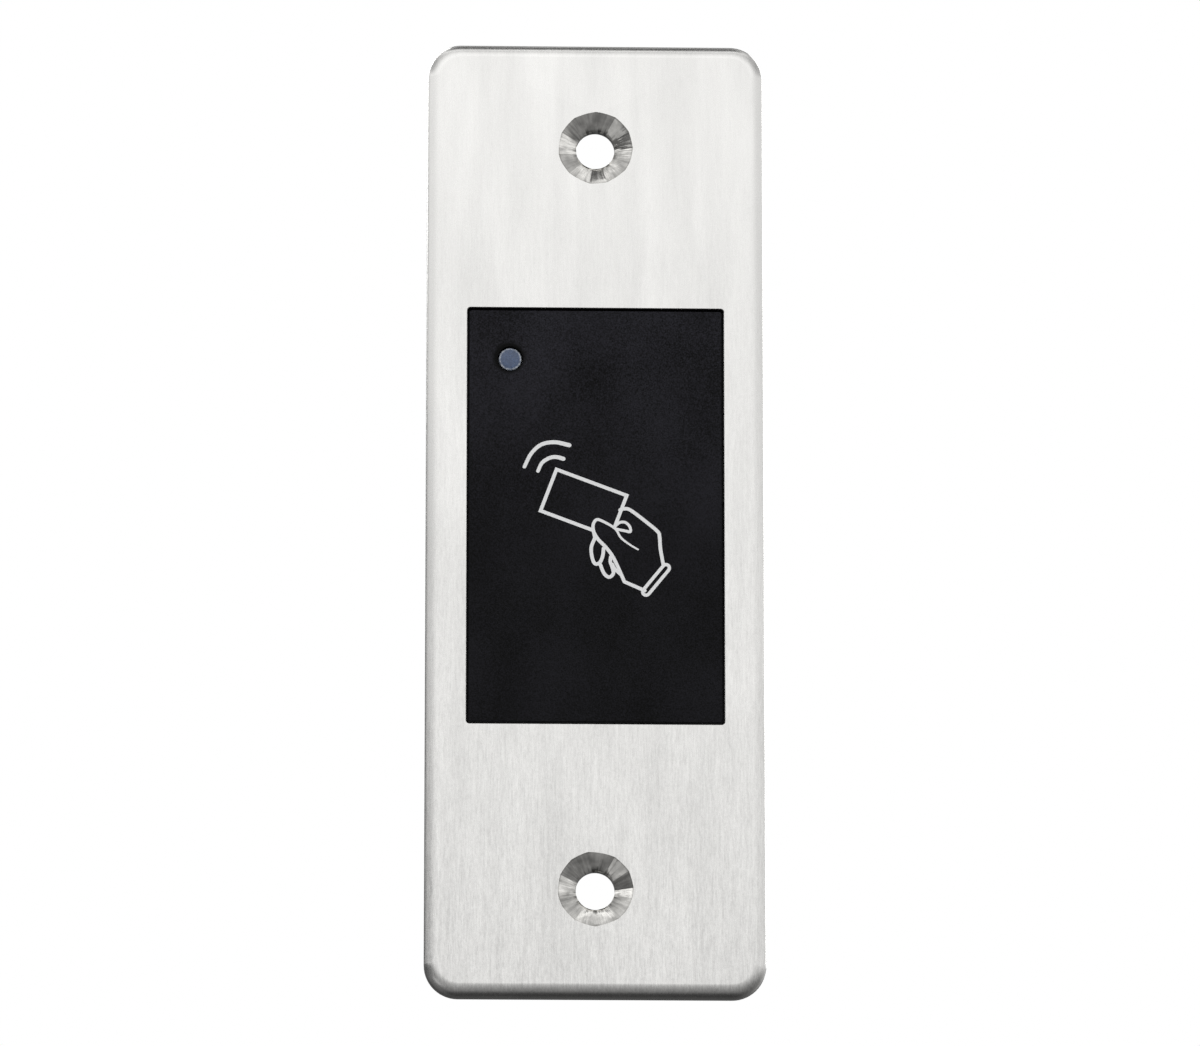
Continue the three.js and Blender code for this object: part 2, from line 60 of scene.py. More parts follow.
class Box:
    """A CAD node's box: its centre (x, y), width, height, back and front, in millimetres."""

    def __init__(self, node):
        low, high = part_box(node)
        self.x, self.y = (low.x + high.x) / 2 / MM, (low.z + high.z) / 2 / MM
        self.width, self.height = (high.x - low.x) / MM, (high.z - low.z) / MM
        self.back, self.front = -high.y / MM, -low.y / MM


# ---- Sizes, from the frame where a node gives them

PLATE = Box("face_plate")
PLATE_CORNER = 4.0
EDGE_ROUNDING, EDGE_REACH = 1.2, 1.6  # back along the edge, and in over the front
EDGE_BREAK = 0.1  # on the plate's edges that aren't rounded
WINDOW_WIDTH, WINDOW_HEIGHT, WINDOW_CORNER = 30.4, 50.2, 0.4
POCKET_DEPTH, POCKET_CLEARANCE, POCKET_CORNER = 0.6, 0.3, 2.5
HOLE_Y, HOLE_RADIUS, SINK_RADIUS, SINK_DEPTH = 44.75, 2.3, 4.45, 1.24

FILM = Box("front_film")
LENS_X, LENS_Y, LENS_RADIUS, LENS_HOLE_RADIUS = -10.1, 18.9, 1.35, 1.5

COVER = Box("rear_cover")  # as wide and high as the housing's box
BOX_CORNER, BOX_WALL = 2.2, 1.7
CAVITY_WIDTH, CAVITY_HEIGHT = COVER.width - 2 * BOX_WALL, COVER.height - 2 * BOX_WALL
POST_X, POST_Y = 10.4, 22.2  # the inner corner of each screw post

# ---- Outlines: functions of how far the shape is grown and of its level, which give a loop of points


def rectangle(width, height, radius, x=0.0, y=0.0, steps=8):
    """A rounded rectangle, with a number of steps in each corner."""

    def outline(grow, h):
        corner = max(radius + grow, 0.02)
        points = []
        for quarter, (sign_x, sign_y) in enumerate(((1, 1), (-1, 1), (-1, -1), (1, -1))):
            centre_x = x + sign_x * (width / 2 + grow - corner)
            centre_y = y + sign_y * (height / 2 + grow - corner)
            for step in range(steps + 1):
                turn = (quarter + step / steps) * pi / 2
                points.append(at(centre_x + corner * cos(turn), centre_y + corner * sin(turn), h))
        return points

    return outline


def disc(radius, x=0.0, y=0.0, count=32):
    turns = [2 * pi * i / count for i in range(count)]

    def outline(grow, h):
        r = radius + grow
        return [at(x + r * cos(t), y + r * sin(t), h) for t in turns]

    return outline


def discs(radius, stem, count, steps):
    """The outline of a hole round each of the numbered nodes that share a stem."""
    places = [Box(f"{stem}_{number}") for number in range(1, count + 1)]
    return [disc(radius, place.x, place.y, steps) for place in places]


def notched(width, height, notch_x, notch_y, radius=0.5, steps=4):
    """A rectangle without its corners, where the screw posts stand.
    The notches start notch_x and notch_y from the centre."""

    def outline(grow, h):
        x, y = width / 2 + grow, height / 2 + grow
        nx, ny = notch_x + grow, notch_y + grow
        corners = [(x, -ny), (x, ny), (nx, ny), (nx, y), (-nx, y), (-nx, ny)]
        corners = [Vector(c) for c in corners] + [-Vector(c) for c in corners]
        points = []
        for i, here in enumerate(corners):
            before, after = corners[i - 1], corners[(i + 1) % len(corners)]
            a = here + (before - here).normalized() * radius
            b = here + (after - here).normalized() * radius
            for step in range(steps + 1):
                t = step / steps
                points.append(a.lerp(here, t).lerp(here.lerp(b, t), t))
        return [at(p.x, p.y, h) for p in points]

    return outline


def cross(reach, width, h, x, y):
    """The loop of points of a cross recess, at the level h."""
    arm = [(reach, -width / 2), (reach, width / 2), (width / 2, width / 2)]
    points = []
    for _ in range(4):
        points += [at(x + px, y + py, h) for px, py in arm]
        arm = [(-py, px) for px, py in arm]
    return points


# ---- Surfaces


def inside(point, polygon):
    """Whether a 2D point lies inside a polygon of 2D points."""
    x, y = point
    found = False
    for (ax, ay), (bx, by) in zip(polygon, polygon[1:] + polygon[:1]):
        if (ay > y) != (by > y) and x < (bx - ax) * (y - ay) / (by - ay) + ax:
            found = not found
    return found


def triangles_of(polygons, keep):
    """(points, triangles, where each point comes from) of the plane cut along the polygons.
    keep says from which of them hold its centre whether a triangle stays."""
    points, edges = [], []
    for polygon in polygons:
        first = len(points)
        count = len(polygon)
        points += [Vector(p) for p in polygon]
        edges += [(first + i, first + (i + 1) % count) for i in range(count)]
    made, _, faces, sources, _, _ = delaunay_2d_cdt(points, edges, [], 0, 1e-6)
    kept = []
    for face in faces:
        centre = sum((made[i] for i in face), Vector((0, 0))) / 3
        if keep([inside(centre, p) for p in polygons]):
            kept.append(face)
    return made, kept, sources


class Skin(Box):
    """Closed surfaces, grown from loops of points and finished as one piece, with the box of its CAD node."""

    def __init__(self, node):
        super().__init__(node)
        self.node = node
        self.bm = bmesh.new()
        self.sharp = []

    def loop(self, points):
        return [self.bm.verts.new(p) for p in points]

    def face(self, verts, material=0):
        made = self.bm.faces.new(verts)
        made.material_index = material
        made.smooth = True

    def band(self, a, b, material=0):
        for i in range(len(a)):
            j = (i + 1) % len(a)
            self.face((a[i], a[j], b[j], b[i]), material)

    def bands(self, loops, material=0, closed=False):
        """Joins each loop of points to the next, and the last to the first, if closed.
        Returns the first and the last as vertices."""
        made = [self.loop(points) for points in loops]
        for a, b in zip(made, made[1:] + made[:closed]):
            self.band(a, b, material)
        return made[0], made[-1]

    def lid(self, outer, holes=(), material=0):
        """A flat face inside the loop outer and outside the holes, all at one level."""
        loops = [outer, *holes]
        verts = [v for loop in loops for v in loop]
        polygons = [[(v.co.x / MM, v.co.z / MM) for v in loop] for loop in loops]
        _, faces, sources = triangles_of(polygons, lambda within: within[0] and not any(within[1:]))
        for face in faces:
            self.face([verts[sources[i][0]] for i in face], material)

    def wall(self, outline, rims, material=0, closed=False):
        """A wall through an outline's rims (grow, h). Returns the first rim and the last."""
        return self.bands([outline(*rim) for rim in rims], material, closed)

    def solid(self, outline, rims, material=0):
        """A wall through the rims, closed by a flat face at each end."""
        for rim in self.wall(outline, rims, material):
            self.lid(rim, material=material)

    def hole(self, outline, levels, edge=0.0, material=0, blind=False):
        """A hole from one level to the other, which is open at both ends or blind. Returns its two rims."""
        a, b = levels
        step = edge if b > a else -edge
        rims = [(edge, a), (0, a + step)] if edge else [(0, a)]
        rims += [(0, b - step), (edge, b)] if edge and not blind else [(0, b)]
        return self.wall(outline, rims, material)

    def pit(self, outline, levels, edge=0.0, material=0):
        """A blind hole from its mouth to its floor. Returns its mouth."""
        mouth, floor = self.hole(outline, levels, edge, material, blind=True)
        self.lid(floor, material=material)
        return mouth

    def slab(self, outline, back, front, edge, holes=(), pits=(), material=0, side=None):
        """A flat piece with broken edges, holes right through it, and pits (outline, depth) in its back.
        Its sides may be of another material than its faces."""
        side = material if side is None else side
        rims = [(-edge, back), (0, back + edge), (0, front - edge), (-edge, front)]
        back_rim, front_rim = self.wall(outline, rims, side)
        pairs = [self.hole(hole, (back, front), edge, side) for hole in holes]
        mouths = [self.pit(mouth, (back, back + depth), 0.02, material) for mouth, depth in pits]
        self.lid(back_rim, [*(pair[0] for pair in pairs), *mouths], material)
        self.lid(front_rim, [pair[1] for pair in pairs], material)

    def prism(self, side, other, material=0):
        """A solid between two equal polygons."""
        for loop in self.bands([side, other], material):
            self.face(loop, material)

    def tube(self, path, radius, closed=False, count=8):
        """A wire along a path."""
        last = len(path) - 1
        turns = [2 * pi * i / count for i in range(count)]
        arms = [Vector((cos(t), sin(t), 0)) * radius * MM for t in turns]
        loops = []
        for i, point in enumerate(path):
            before = path[i - 1] if i or closed else point
            after = path[(i + 1) % len(path)] if i < last or closed else point
            turn = (after - before).to_track_quat("Z", "Y")
            loops.append([point + turn @ arm for arm in arms])
        ends = self.bands(loops, closed=closed)
        if not closed:
            for end in ends:
                self.face(end)

    def finish(self, name, slot, *materials, crease=35.0, replaces=True):
        """Makes the piece, which takes the node's place, unless it lies on the node's own piece.
        Edges sharper than crease, in degrees, stay sharp, and flat faces look flat."""
        bmesh.ops.recalc_face_normals(self.bm, faces=self.bm.faces)
        limit = radians(crease)
        for edge in self.bm.edges:
            edge.smooth = edge.is_manifold and edge.calc_face_angle() < limit
        for edge in self.sharp:
            edge.smooth = False
        mesh = bpy.data.meshes.new(name)
        self.bm.to_mesh(mesh)
        self.bm.free()
        for material in materials:
            mesh.materials.append(material)
        piece = bpy.data.objects.new(name, mesh)
        bpy.context.scene.collection.objects.link(piece)
        modifier = piece.modifiers.new("even normals", "WEIGHTED_NORMAL")
        modifier.keep_sharp = True
        modifier.weight = 80
        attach(piece, "root")
        if replaces:
            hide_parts(self.node)


# ---- Finishes


class Nodes:
    """A node tree, and the few recipes that the finishes and the studio share."""

    def __init__(self, tree):
        self.tree = tree

    def node(self, kind, **settings):
        made = self.tree.nodes.new(kind)
        for key, value in settings.items():
            setattr(made, key, value)
        return made

    def join(self, value, socket):
        """Puts an output or a constant into a socket."""
        if isinstance(value, bpy.types.NodeSocket):
            self.tree.links.new(value, socket)
        elif socket.type == "RGBA":
            socket.default_value = (*value, 1.0)
        else:
            socket.default_value = value

    def axes(self, vector):
        split = self.node("ShaderNodeSeparateXYZ")
        self.join(vector, split.inputs["Vector"])
        return split.outputs

    def math(self, operation, *values):
        made = self.node("ShaderNodeMath", operation=operation)
        for value, socket in zip(values, made.inputs):
            self.join(value, socket)
        return made.outputs["Value"]

    def plus(self, a, b):
        return self.math("ADD", a, b)

    def times(self, a, b):
        return self.math("MULTIPLY", a, b)

    def length(self, a, b):
        """The length of a line that goes a across and b up."""
        return self.math("SQRT", self.plus(self.math("POWER", a, 2.0), self.math("POWER", b, 2.0)))

    def between(self, value, low, high):
        """1 between low and high, and 0 elsewhere."""
        return self.times(self.math("GREATER_THAN", value, low), self.math("LESS_THAN", value, high))

    def remap(self, value, low, high, source=(0.3, 0.7), **settings):
        """Takes the source's range to the range from low to high, and holds it there."""
        made = self.node("ShaderNodeMapRange", **settings)
        made.inputs["From Min"].default_value, made.inputs["From Max"].default_value = source
        made.inputs["To Min"].default_value, made.inputs["To Max"].default_value = low, high
        self.join(value, made.inputs["Value"])
        return made.outputs["Result"]

    def ramp(self, value, stops, interpolation):
        """Colours at places (place, colour) from 0 to 1."""
        made = self.node("ShaderNodeValToRGB")
        made.color_ramp.interpolation = interpolation
        elements = made.color_ramp.elements
        while len(elements) < len(stops):
            elements.new(0.5)
        for element, (place, color) in zip(elements, stops):
            element.position = place
            element.color = (*color, 1.0)
        self.join(value, made.inputs["Fac"])
        return made.outputs["Color"]

    def mix(self, factor, a, b):
        """Colour b over colour a by factor."""
        made = self.node("ShaderNodeMix", data_type="RGBA")
        self.join(factor, made.inputs["Factor"])
        self.join(a, made.inputs[6])
        self.join(b, made.inputs[7])
        return made.outputs[2]

    def scale(self, color, factor):
        made = self.node("ShaderNodeVectorMath", operation="SCALE")
        self.join(color, made.inputs["Vector"])
        self.join(factor, made.inputs["Scale"])
        return made.outputs["Vector"]


class Finish(Nodes):
    """A Principled material, painted from the place on the object."""

    def __init__(self, name, color, roughness, metallic=0.0, constants=None):
        self.material = bpy.data.materials.new(name)
        self.material.use_nodes = True
        super().__init__(self.material.node_tree)
        self.shader = self.tree.nodes["Principled BSDF"]
        self.place = self.node("ShaderNodeTexCoord").outputs["Object"]
        self.color = color
        sockets = {"Base Color": color, "Roughness": roughness, "Metallic": metallic, **(constants or {})}
        for socket, value in sockets.items():
            self.join(value, self.shader.inputs[socket])

    def texture(self, vector, detail, roughness=0.5, distortion=0.0):
        made = self.node("ShaderNodeTexNoise")
        made.inputs["Scale"].default_value = 1.0
        made.inputs["Detail"].default_value = detail
        made.inputs["Roughness"].default_value = roughness
        made.inputs["Distortion"].default_value = distortion
        self.join(vector, made.inputs["Vector"])
        return made.outputs["Fac"]

    def noise(self, size, detail=2.0, **settings):
        """Noise whose features measure size, or size = (along X, Y, Z), in millimetres."""
        sizes = size if isinstance(size, tuple) else (size, size, size)
        mapping = self.node("ShaderNodeMapping")
        mapping.inputs["Scale"].default_value = [1 / (s * MM) for s in sizes]
        self.join(self.place, mapping.inputs["Vector"])
        return self.texture(mapping.outputs["Vector"], detail, **settings)

    def distance(self, x, y):
        """How far a point is from an axis along h at (x, y)."""
        across, _, up = self.axes(self.place)
        return self.length(self.plus(across, -x * MM), self.plus(up, -y * MM))

    def shades(self, value, darkest, lightest, source=(0.3, 0.7)):
        """The base colour from darkest to lightest times the finish's own colour."""
        low, high = (tuple(min(1.0, c * share) for c in self.color) for share in (darkest, lightest))
        return self.mix(self.remap(value, 0.0, 1.0, source), low, high)

    def paint(self, color):
        self.join(color, self.shader.inputs["Base Color"])

    def rough(self, value, low, high, source=(0.3, 0.7)):
        self.join(self.remap(value, low, high, source), self.shader.inputs["Roughness"])

    def bump(self, value, height):
        """Bumps of that height, in millimetres."""
        made = self.node("ShaderNodeBump")
        made.inputs["Strength"].default_value = 1.0
        made.inputs["Distance"].default_value = height * MM
        self.join(value, made.inputs["Height"])
        self.join(made.outputs["Normal"], self.shader.inputs["Normal"])


def brushed_steel():
    """Stainless steel brushed along its height: short fine streaks, a few longer ones, and faint clouds.
    The streaks are coarser towards the foot of the plate."""
    finish = Finish("brushed_steel", (0.86, 0.853, 0.835), 0.26, 1.0, {"Anisotropic": 0.45})
    fine = finish.noise((0.16, 0.16, 1.3), detail=3.0, roughness=0.7)
    long = finish.noise((0.3, 0.3, 5.5), detail=3.0, roughness=0.6)
    dots = finish.noise((0.2, 0.2, 0.26))
    cloud = finish.noise((3.6, 3.6, 22.0), detail=3.0, distortion=0.2)
    streaky = finish.plus(finish.times(fine, 0.5), finish.times(long, 0.28))
    grain = finish.plus(streaky, finish.times(dots, 0.22))
    _, _, height = finish.axes(finish.place)
    contrast = finish.remap(height, 1.0, 0.45, (-55.0 * MM, 45.0 * MM))
    streaks = finish.shades(finish.times(finish.plus(grain, -0.5), contrast), 0.82, 1.125, (-0.12, 0.12))
    finish.paint(finish.scale(streaks, finish.remap(cloud, 0.935, 1.045)))
    finish.rough(grain, 0.2, 0.32, (0.35, 0.65))
    finish.bump(grain, 0.005)
    return finish.material


def machined_steel():
    """The countersinks: cut bright, with marks that run out from the hole's centre, torn at the inner edge,
    and darker in a thin ring at the rim."""
    finish = Finish("machined_steel", (0.93, 0.915, 0.88), 0.2, 1.0)
    x, y, z = finish.axes(finish.place)
    side = finish.math("SIGN", z)
    up = finish.math("SUBTRACT", z, finish.times(side, HOLE_Y * MM))
    turn = finish.math("ARCTAN2", up, x)
    reach = finish.length(x, up)

    def marks(across, along, detail=2.0):
        place = finish.node("ShaderNodeCombineXYZ")
        for part, socket in zip((finish.times(turn, across), finish.times(y, along), side), place.inputs):
            finish.join(part, socket)
        return finish.texture(place.outputs["Vector"], detail)

    fine = marks(8.0, 500.0, 3.0)
    broad = marks(2.2, 1100.0)
    both = finish.plus(finish.times(fine, 0.4), finish.times(broad, 0.6))
    tears = finish.remap(marks(6.0, 200.0), 0.0, 1.0, (0.52, 0.6))
    inner = finish.remap(reach, 0.85, 0.0, ((HOLE_RADIUS + 0.08) * MM, (HOLE_RADIUS + 0.55) * MM))
    rim = finish.remap(reach, 0.0, 0.6, ((SINK_RADIUS - 0.22) * MM, (SINK_RADIUS - 0.04) * MM))
    dark = finish.math("MAXIMUM", finish.times(inner, tears), rim)
    finish.paint(finish.mix(dark, finish.shades(both, 0.55, 1.02, (0.38, 0.6)), (0.16, 0.155, 0.145)))
    finish.rough(fine, 0.07, 0.2)
    finish.bump(both, 0.1)
    return finish.material


def black_film():
    """Black overlay with a fine matt texture, painted shade round the lamp's hole, and painted light that
    makes it paler towards the top.
    """
    finish = Finish("black_film", (0.0062, 0.0061, 0.008), 0.5, 0.0, {"Specular IOR Level": 0.12})
    pebble = finish.noise(0.16, detail=4.0, roughness=0.75)
    patch = finish.noise((9.0, 9.0, 12.0), detail=3.0)
    speck = finish.plus(finish.times(patch, 0.25), finish.times(pebble, 0.75))
    # Painted shade: near black round the lamp's hole, centred a little up and to the left of it.
    shade = finish.remap(finish.distance(LENS_X - 0.12, LENS_Y + 0.14), 1.0, 0.0, (1.65 * MM, 2.05 * MM))
    # Painted light: the film's colour grows paler towards the top, where it would catch more light.
    _, _, height = finish.axes(finish.place)
    paler = finish.remap(height, 0.8, 1.7, (-5.0 * MM, 20.0 * MM))
    tone = finish.scale(finish.shades(speck, 0.0, 2.6, (0.4, 0.6)), paler)
    finish.paint(finish.mix(shade, tone, (0.0004, 0.0004, 0.0005)))
    finish.rough(pebble, 0.42, 0.62)
    finish.bump(pebble, 0.06)
    return finish.material


def black_shell():
    """Black ABS from a spark eroded mould."""
    finish = Finish("black_shell", (0.013, 0.013, 0.0145), 0.5, 0.0, {"Specular IOR Level": 0.45})
    pits = finish.noise(0.22, detail=4.0, roughness=0.7)
    finish.paint(finish.shades(finish.noise(7.0, detail=3.0), 0.85, 1.3))
    finish.rough(pits, 0.42, 0.62)
    finish.bump(pits, 0.02)
    return finish.material


def lens_plastic():
    """Smoky clear plastic, scuffed, with a painted highlight towards the rim: pale patches where the rounded
    rim catches the light.
    """
    constants = {"Coat Weight": 0.3, "Transmission Weight": 0.1}
    finish = Finish("lens_plastic", (0.066, 0.104, 0.2), 0.22, 0.0, constants)
    scuffs = finish.noise(0.35, detail=3.0)
    # Painted highlight: pale patches on the lens's rim, broken up by the scuffs.
    rim_reach = (LENS_RADIUS * 0.8 * MM, LENS_RADIUS * 0.92 * MM)
    rim = finish.remap(finish.distance(LENS_X, LENS_Y), 0.0, 1.0, rim_reach)
    uneven = finish.times(rim, finish.remap(scuffs, 0.25, 1.0, (0.38, 0.58)))
    finish.paint(finish.mix(uneven, finish.shades(scuffs, 0.8, 1.2), (0.62, 0.66, 0.72)))
    finish.rough(scuffs, 0.15, 0.35)
    finish.bump(scuffs, 0.03)
    return finish.material


def plain(name, color, roughness, grain, shades, height, metallic=0.0, gloss=None, specular=0.5, relief=None):
    """A plain surface, whose tone and gloss vary with a noise, its grain, of (size, detail).
    It's bumpy by its relief, another noise, or else by its grain."""
    finish = Finish(name, color, roughness, metallic, {"Specular IOR Level": specular})
    fleck = finish.noise(*grain)
    finish.paint(finish.shades(fleck, *shades))
    finish.rough(fleck, *(gloss or (roughness * 0.8, roughness * 1.2)))
    finish.bump(finish.noise(*relief) if relief else fleck, height)
    return finish.material


def printed_label():
    """Satin white label with a generic chart of eight wire colours and ruled lines, and no lettering."""
    red, black, green, white = (0.55, 0.02, 0.02), (0.02, 0.02, 0.02), (0.03, 0.32, 0.06), (0.70, 0.70, 0.68)
    blue, yellow, brown, grey = (0.02, 0.08, 0.45), (0.75, 0.55, 0.02), (0.25, 0.10, 0.03), (0.30, 0.30, 0.32)
    wires = [red, black, green, white, blue, yellow, brown, grey]
    finish = Finish("printed_label", (0.80, 0.80, 0.77), 0.42)
    sheet = Box("wiring_label")
    rows, margin = len(wires), 1.5
    pitch = (sheet.height - 2 * margin) / rows
    foot = sheet.y - sheet.height / 2 + margin
    across, _, up = finish.axes(finish.place)
    x = finish.math("DIVIDE", across, MM)
    row = finish.math("DIVIDE", finish.plus(finish.math("DIVIDE", up, MM), -foot), pitch)
    within = finish.math("FRACT", row)
    on_sheet = finish.between(row, 0.0, float(rows))

    def bar(left, right, low, high):
        """A bar in each row, seen from behind, where x runs to the left."""
        shape = finish.times(finish.between(x, left, right), finish.between(within, low, high))
        return finish.times(shape, on_sheet)

    stops = [(i / rows, color) for i, color in enumerate(wires)]
    colors = finish.ramp(finish.math("DIVIDE", row, float(rows)), stops, "CONSTANT")
    paper = finish.shades(finish.noise(0.4, detail=3.0), 0.97, 1.03)
    ruled = finish.mix(bar(-10.5, 3.5, 0.46, 0.54), paper, (0.12, 0.12, 0.13))
    finish.paint(finish.mix(bar(5.5, 10.5, 0.22, 0.78), ruled, colors))
    finish.bump(finish.noise(0.3), 0.004)
    return finish.material


def solder_mask():
    """Green circuit board, with the paler shade of copper tracks under the mask."""
    finish = Finish("solder_mask", (0.012, 0.085, 0.035), 0.3, 0.0, {"Coat Weight": 0.3})
    brick = finish.node("ShaderNodeTexVoronoi", feature="F1", distance="CHEBYCHEV")
    brick.inputs["Scale"].default_value = 420.0
    finish.join(finish.place, brick.inputs["Vector"])
    tracks = finish.remap(brick.outputs["Distance"], 0.0, 1.0, (0.28, 0.3))
    finish.paint(finish.mix(tracks, finish.color, (0.022, 0.14, 0.055)))
    finish.bump(tracks, 0.03)
    return finish.material


STEEL = brushed_steel()
MACHINED = machined_steel()
OVERLAY = black_film()
SHELL = black_shell()
LENS = lens_plastic()
LABEL = printed_label()
BOARD = solder_mask()
RUBBER = plain(
    "black_rubber", (0.012, 0.012, 0.012), 0.75, (2.5, 4), (0.8, 1.6), 0.008,
    gloss=(0.65, 0.85), specular=0.35, relief=(0.12, 2),
)
INK = plain(
    "pictogram_ink", (0.94, 0.945, 0.955), 0.5, (0.08, 2), (0.95, 1.04), 0.004, gloss=(0.5, 0.5), specular=0.3
)
ZINC = plain(
    "zinc_plate", (0.62, 0.64, 0.67), 0.28, (0.9, 4), (0.82, 1.12), 0.006, 1.0,
    gloss=(0.2, 0.4), relief=(0.2, 2),
)
PLUG = plain("smoky_plug", (0.06, 0.065, 0.07), 0.12, (0.6, 3), (0.8, 1.2), 0.004)
COPPER = plain("enamelled_copper", (0.50, 0.19, 0.07), 0.3, (0.35, 3), (0.7, 1.15), 0.03, 0.9)
EPOXY = plain("moulded_epoxy", (0.016, 0.016, 0.018), 0.5, (0.15, 3), (0.85, 1.15), 0.01)
TIN = plain("drawn_tin", (0.66, 0.67, 0.68), 0.28, (0.5, 3), (0.9, 1.08), 0.004, 1.0)
NYLON = plain("natural_nylon", (0.72, 0.67, 0.55), 0.45, (0.8, 3), (0.94, 1.04), 0.01)
CERAMIC = plain("fired_ceramic", (0.46, 0.31, 0.17), 0.45, (0.2, 3), (0.85, 1.15), 0.01)
LAMINATE = plain("glass_laminate", (0.42, 0.40, 0.20), 0.55, (0.1, 3), (0.85, 1.15), 0.01)


# ---- Face plate


def fixing_hole(skin, y, seed):
    """A countersunk hole. Returns its rim on the front and its rim on the back.
    The drill has chattered, so instead of a round cone it has left thirteen uneven flats."""
    cuts, steps = 13, 5
    rng = random.Random(seed)
    widths = [rng.uniform(0.45, 1.55) for _ in range(cuts)]
    reaches = [rng.uniform(0.975, 1.0) for _ in range(cuts)]
    start = rng.uniform(0.0, 1.0)
    points = []
    for cut in range(cuts):
        end = start + widths[cut] * 2 * pi / sum(widths)
        a = reaches[cut] * Vector((cos(start), sin(start)))
        b = reaches[(cut + 1) % cuts] * Vector((cos(end), sin(end)))
        points += [a.lerp(b, step / steps) for step in range(steps)]
        start = end

    def ring(radius, h, chatter):
        """A loop of that radius. Its flats are full at chatter 1, and it's round at 0."""
        reach = [radius * (1 + chatter * (p.length - 1)) / p.length for p in points]
        return skin.loop([at(p.x * r, y + p.y * r, h) for p, r in zip(points, reach)])

    loops = [ring(HOLE_RADIUS + EDGE_BREAK, PLATE.back, 0), ring(HOLE_RADIUS, PLATE.back + EDGE_BREAK, 0)]
    first_cut = 4  # the loop where the creases start, a little above the foot of the cone
    for share, chatter in ((0.0, 0.2), (0.05, 0.7), (0.2, 1.0), (0.45, 1.0), (0.75, 0.8), (0.98, 0.45)):
        radius = HOLE_RADIUS + share * (SINK_RADIUS - HOLE_RADIUS)
        loops.append(ring(radius, PLATE.front - (1 - share) * SINK_DEPTH, chatter))
    loops.append(ring(SINK_RADIUS + 0.02, PLATE.front, 0.45))
    for a, b in zip(loops, loops[1:]):
        skin.band(a, b, material=1)
    for a, b in zip(loops[first_cut:], loops[first_cut + 1 :]):
        skin.sharp += [skin.bm.edges.get(pair) for pair in zip(a[::steps], b[::steps])]
    return loops[-1], loops[0]


def face_plate():
    """The plate, with a rounded front edge, the window, the countersunk holes and the housing's pocket."""
    skin = Skin("face_plate")
    rims = [(-EDGE_BREAK, PLATE.back), (0, PLATE.back + EDGE_BREAK)]
    steps = 20
    for step in range(steps + 1):
        turn = pi / 2 * step / steps
        inset, drop = EDGE_REACH * (1 - cos(turn)), EDGE_ROUNDING * (1 - sin(turn))
        rims.append((-inset, PLATE.front - drop))
    back_edge, front_edge = skin.wall(rectangle(PLATE.width, PLATE.height, PLATE_CORNER, steps=14), rims)

    floor, lip = PLATE.back + POCKET_DEPTH, 0.06
    window = rectangle(WINDOW_WIDTH, WINDOW_HEIGHT, WINDOW_CORNER, steps=6)
    window_back, window_front = skin.wall(window, [(0, floor), (0, PLATE.front - lip), (lip, PLATE.front)])
    flange = Box("front_housing")
    pocket_size = (flange.width + 2 * POCKET_CLEARANCE, flange.height + 2 * POCKET_CLEARANCE)
    pocket = rectangle(*pocket_size, POCKET_CORNER, steps=14)
    pocket_back, pocket_floor = skin.wall(pocket, [(0, PLATE.back), (0, floor)])
    depths = (floor, PLATE.front - 0.7)
    screw_holes = [skin.pit(hole, depths) for hole in discs(1.3, "housing_screw", 4, 24)]

    upper_rim, upper_back = fixing_hole(skin, HOLE_Y, seed=5)
    lower_rim, lower_back = fixing_hole(skin, -HOLE_Y, seed=11)
    skin.lid(front_edge, [window_front, upper_rim, lower_rim])
    skin.lid(back_edge, [pocket_back, upper_back, lower_back])
    skin.lid(pocket_floor, [window_back, *screw_holes])
    skin.finish("steel_face_plate", "brushed_steel", STEEL, MACHINED)


# ---- Reading window: film, lamp lens and pictogram


def window_film():
    skin = Skin("front_film")
    lip = 0.03
    outline = rectangle(FILM.width, FILM.height, 0.3, steps=6)
    hole = disc(LENS_HOLE_RADIUS, LENS_X, LENS_Y, 64)
    back, front = skin.wall(outline, [(0, FILM.back), (0, FILM.front - lip), (-lip, FILM.front)])
    hole_back, hole_front = skin.wall(hole, [(0, FILM.back), (0, FILM.front - lip), (lip, FILM.front)])
    skin.lid(front, [hole_front])
    skin.lid(back, [hole_back])
    skin.finish("window_film", "black_film", OVERLAY)


def lamp_lens():
    """The light pipe, with a ground rim and a shallow dome that stands just below the film's face."""
    skin = Skin("led_light_pipe")
    radius, flange, rim, dome = LENS_RADIUS, 2.2, 0.16, 0.06
    flange_front = skin.back + 1.05
    flange_back = flange_front - 0.8
    rims = [(radius, skin.back), (radius, flange_back), (flange, flange_back), (flange, flange_front)]
    rims.append((radius, flange_front))
    for turn in (radians(16 * step) for step in range(6)):
        rims.append((radius - rim * (1 - cos(turn)), skin.front - dome - rim * (1 - sin(turn))))
    rims += [(radius * share, skin.front - dome * share**2) for share in (0.8, 0.6, 0.4, 0.2, 0.05)]
    skin.solid(disc(0, LENS_X, LENS_Y, 64), rims)
    skin.finish("lamp_lens", "clear_plastic", LENS)


def smooth_path(points, steps=8):
    """A smooth line through the points."""
    ends = [points[0] * 2 - points[1], *points, points[-1] * 2 - points[-2]]
    path = []
    for a, b, c, d in zip(ends, ends[1:], ends[2:], ends[3:]):
        square, cube = 2 * a - 5 * b + 4 * c - d, 3 * b - a - 3 * c + d
        for t in (step / steps for step in range(steps)):
            path.append(0.5 * (2 * b + (c - a) * t + square * t**2 + cube * t**3))
    return [*path, points[-1]]


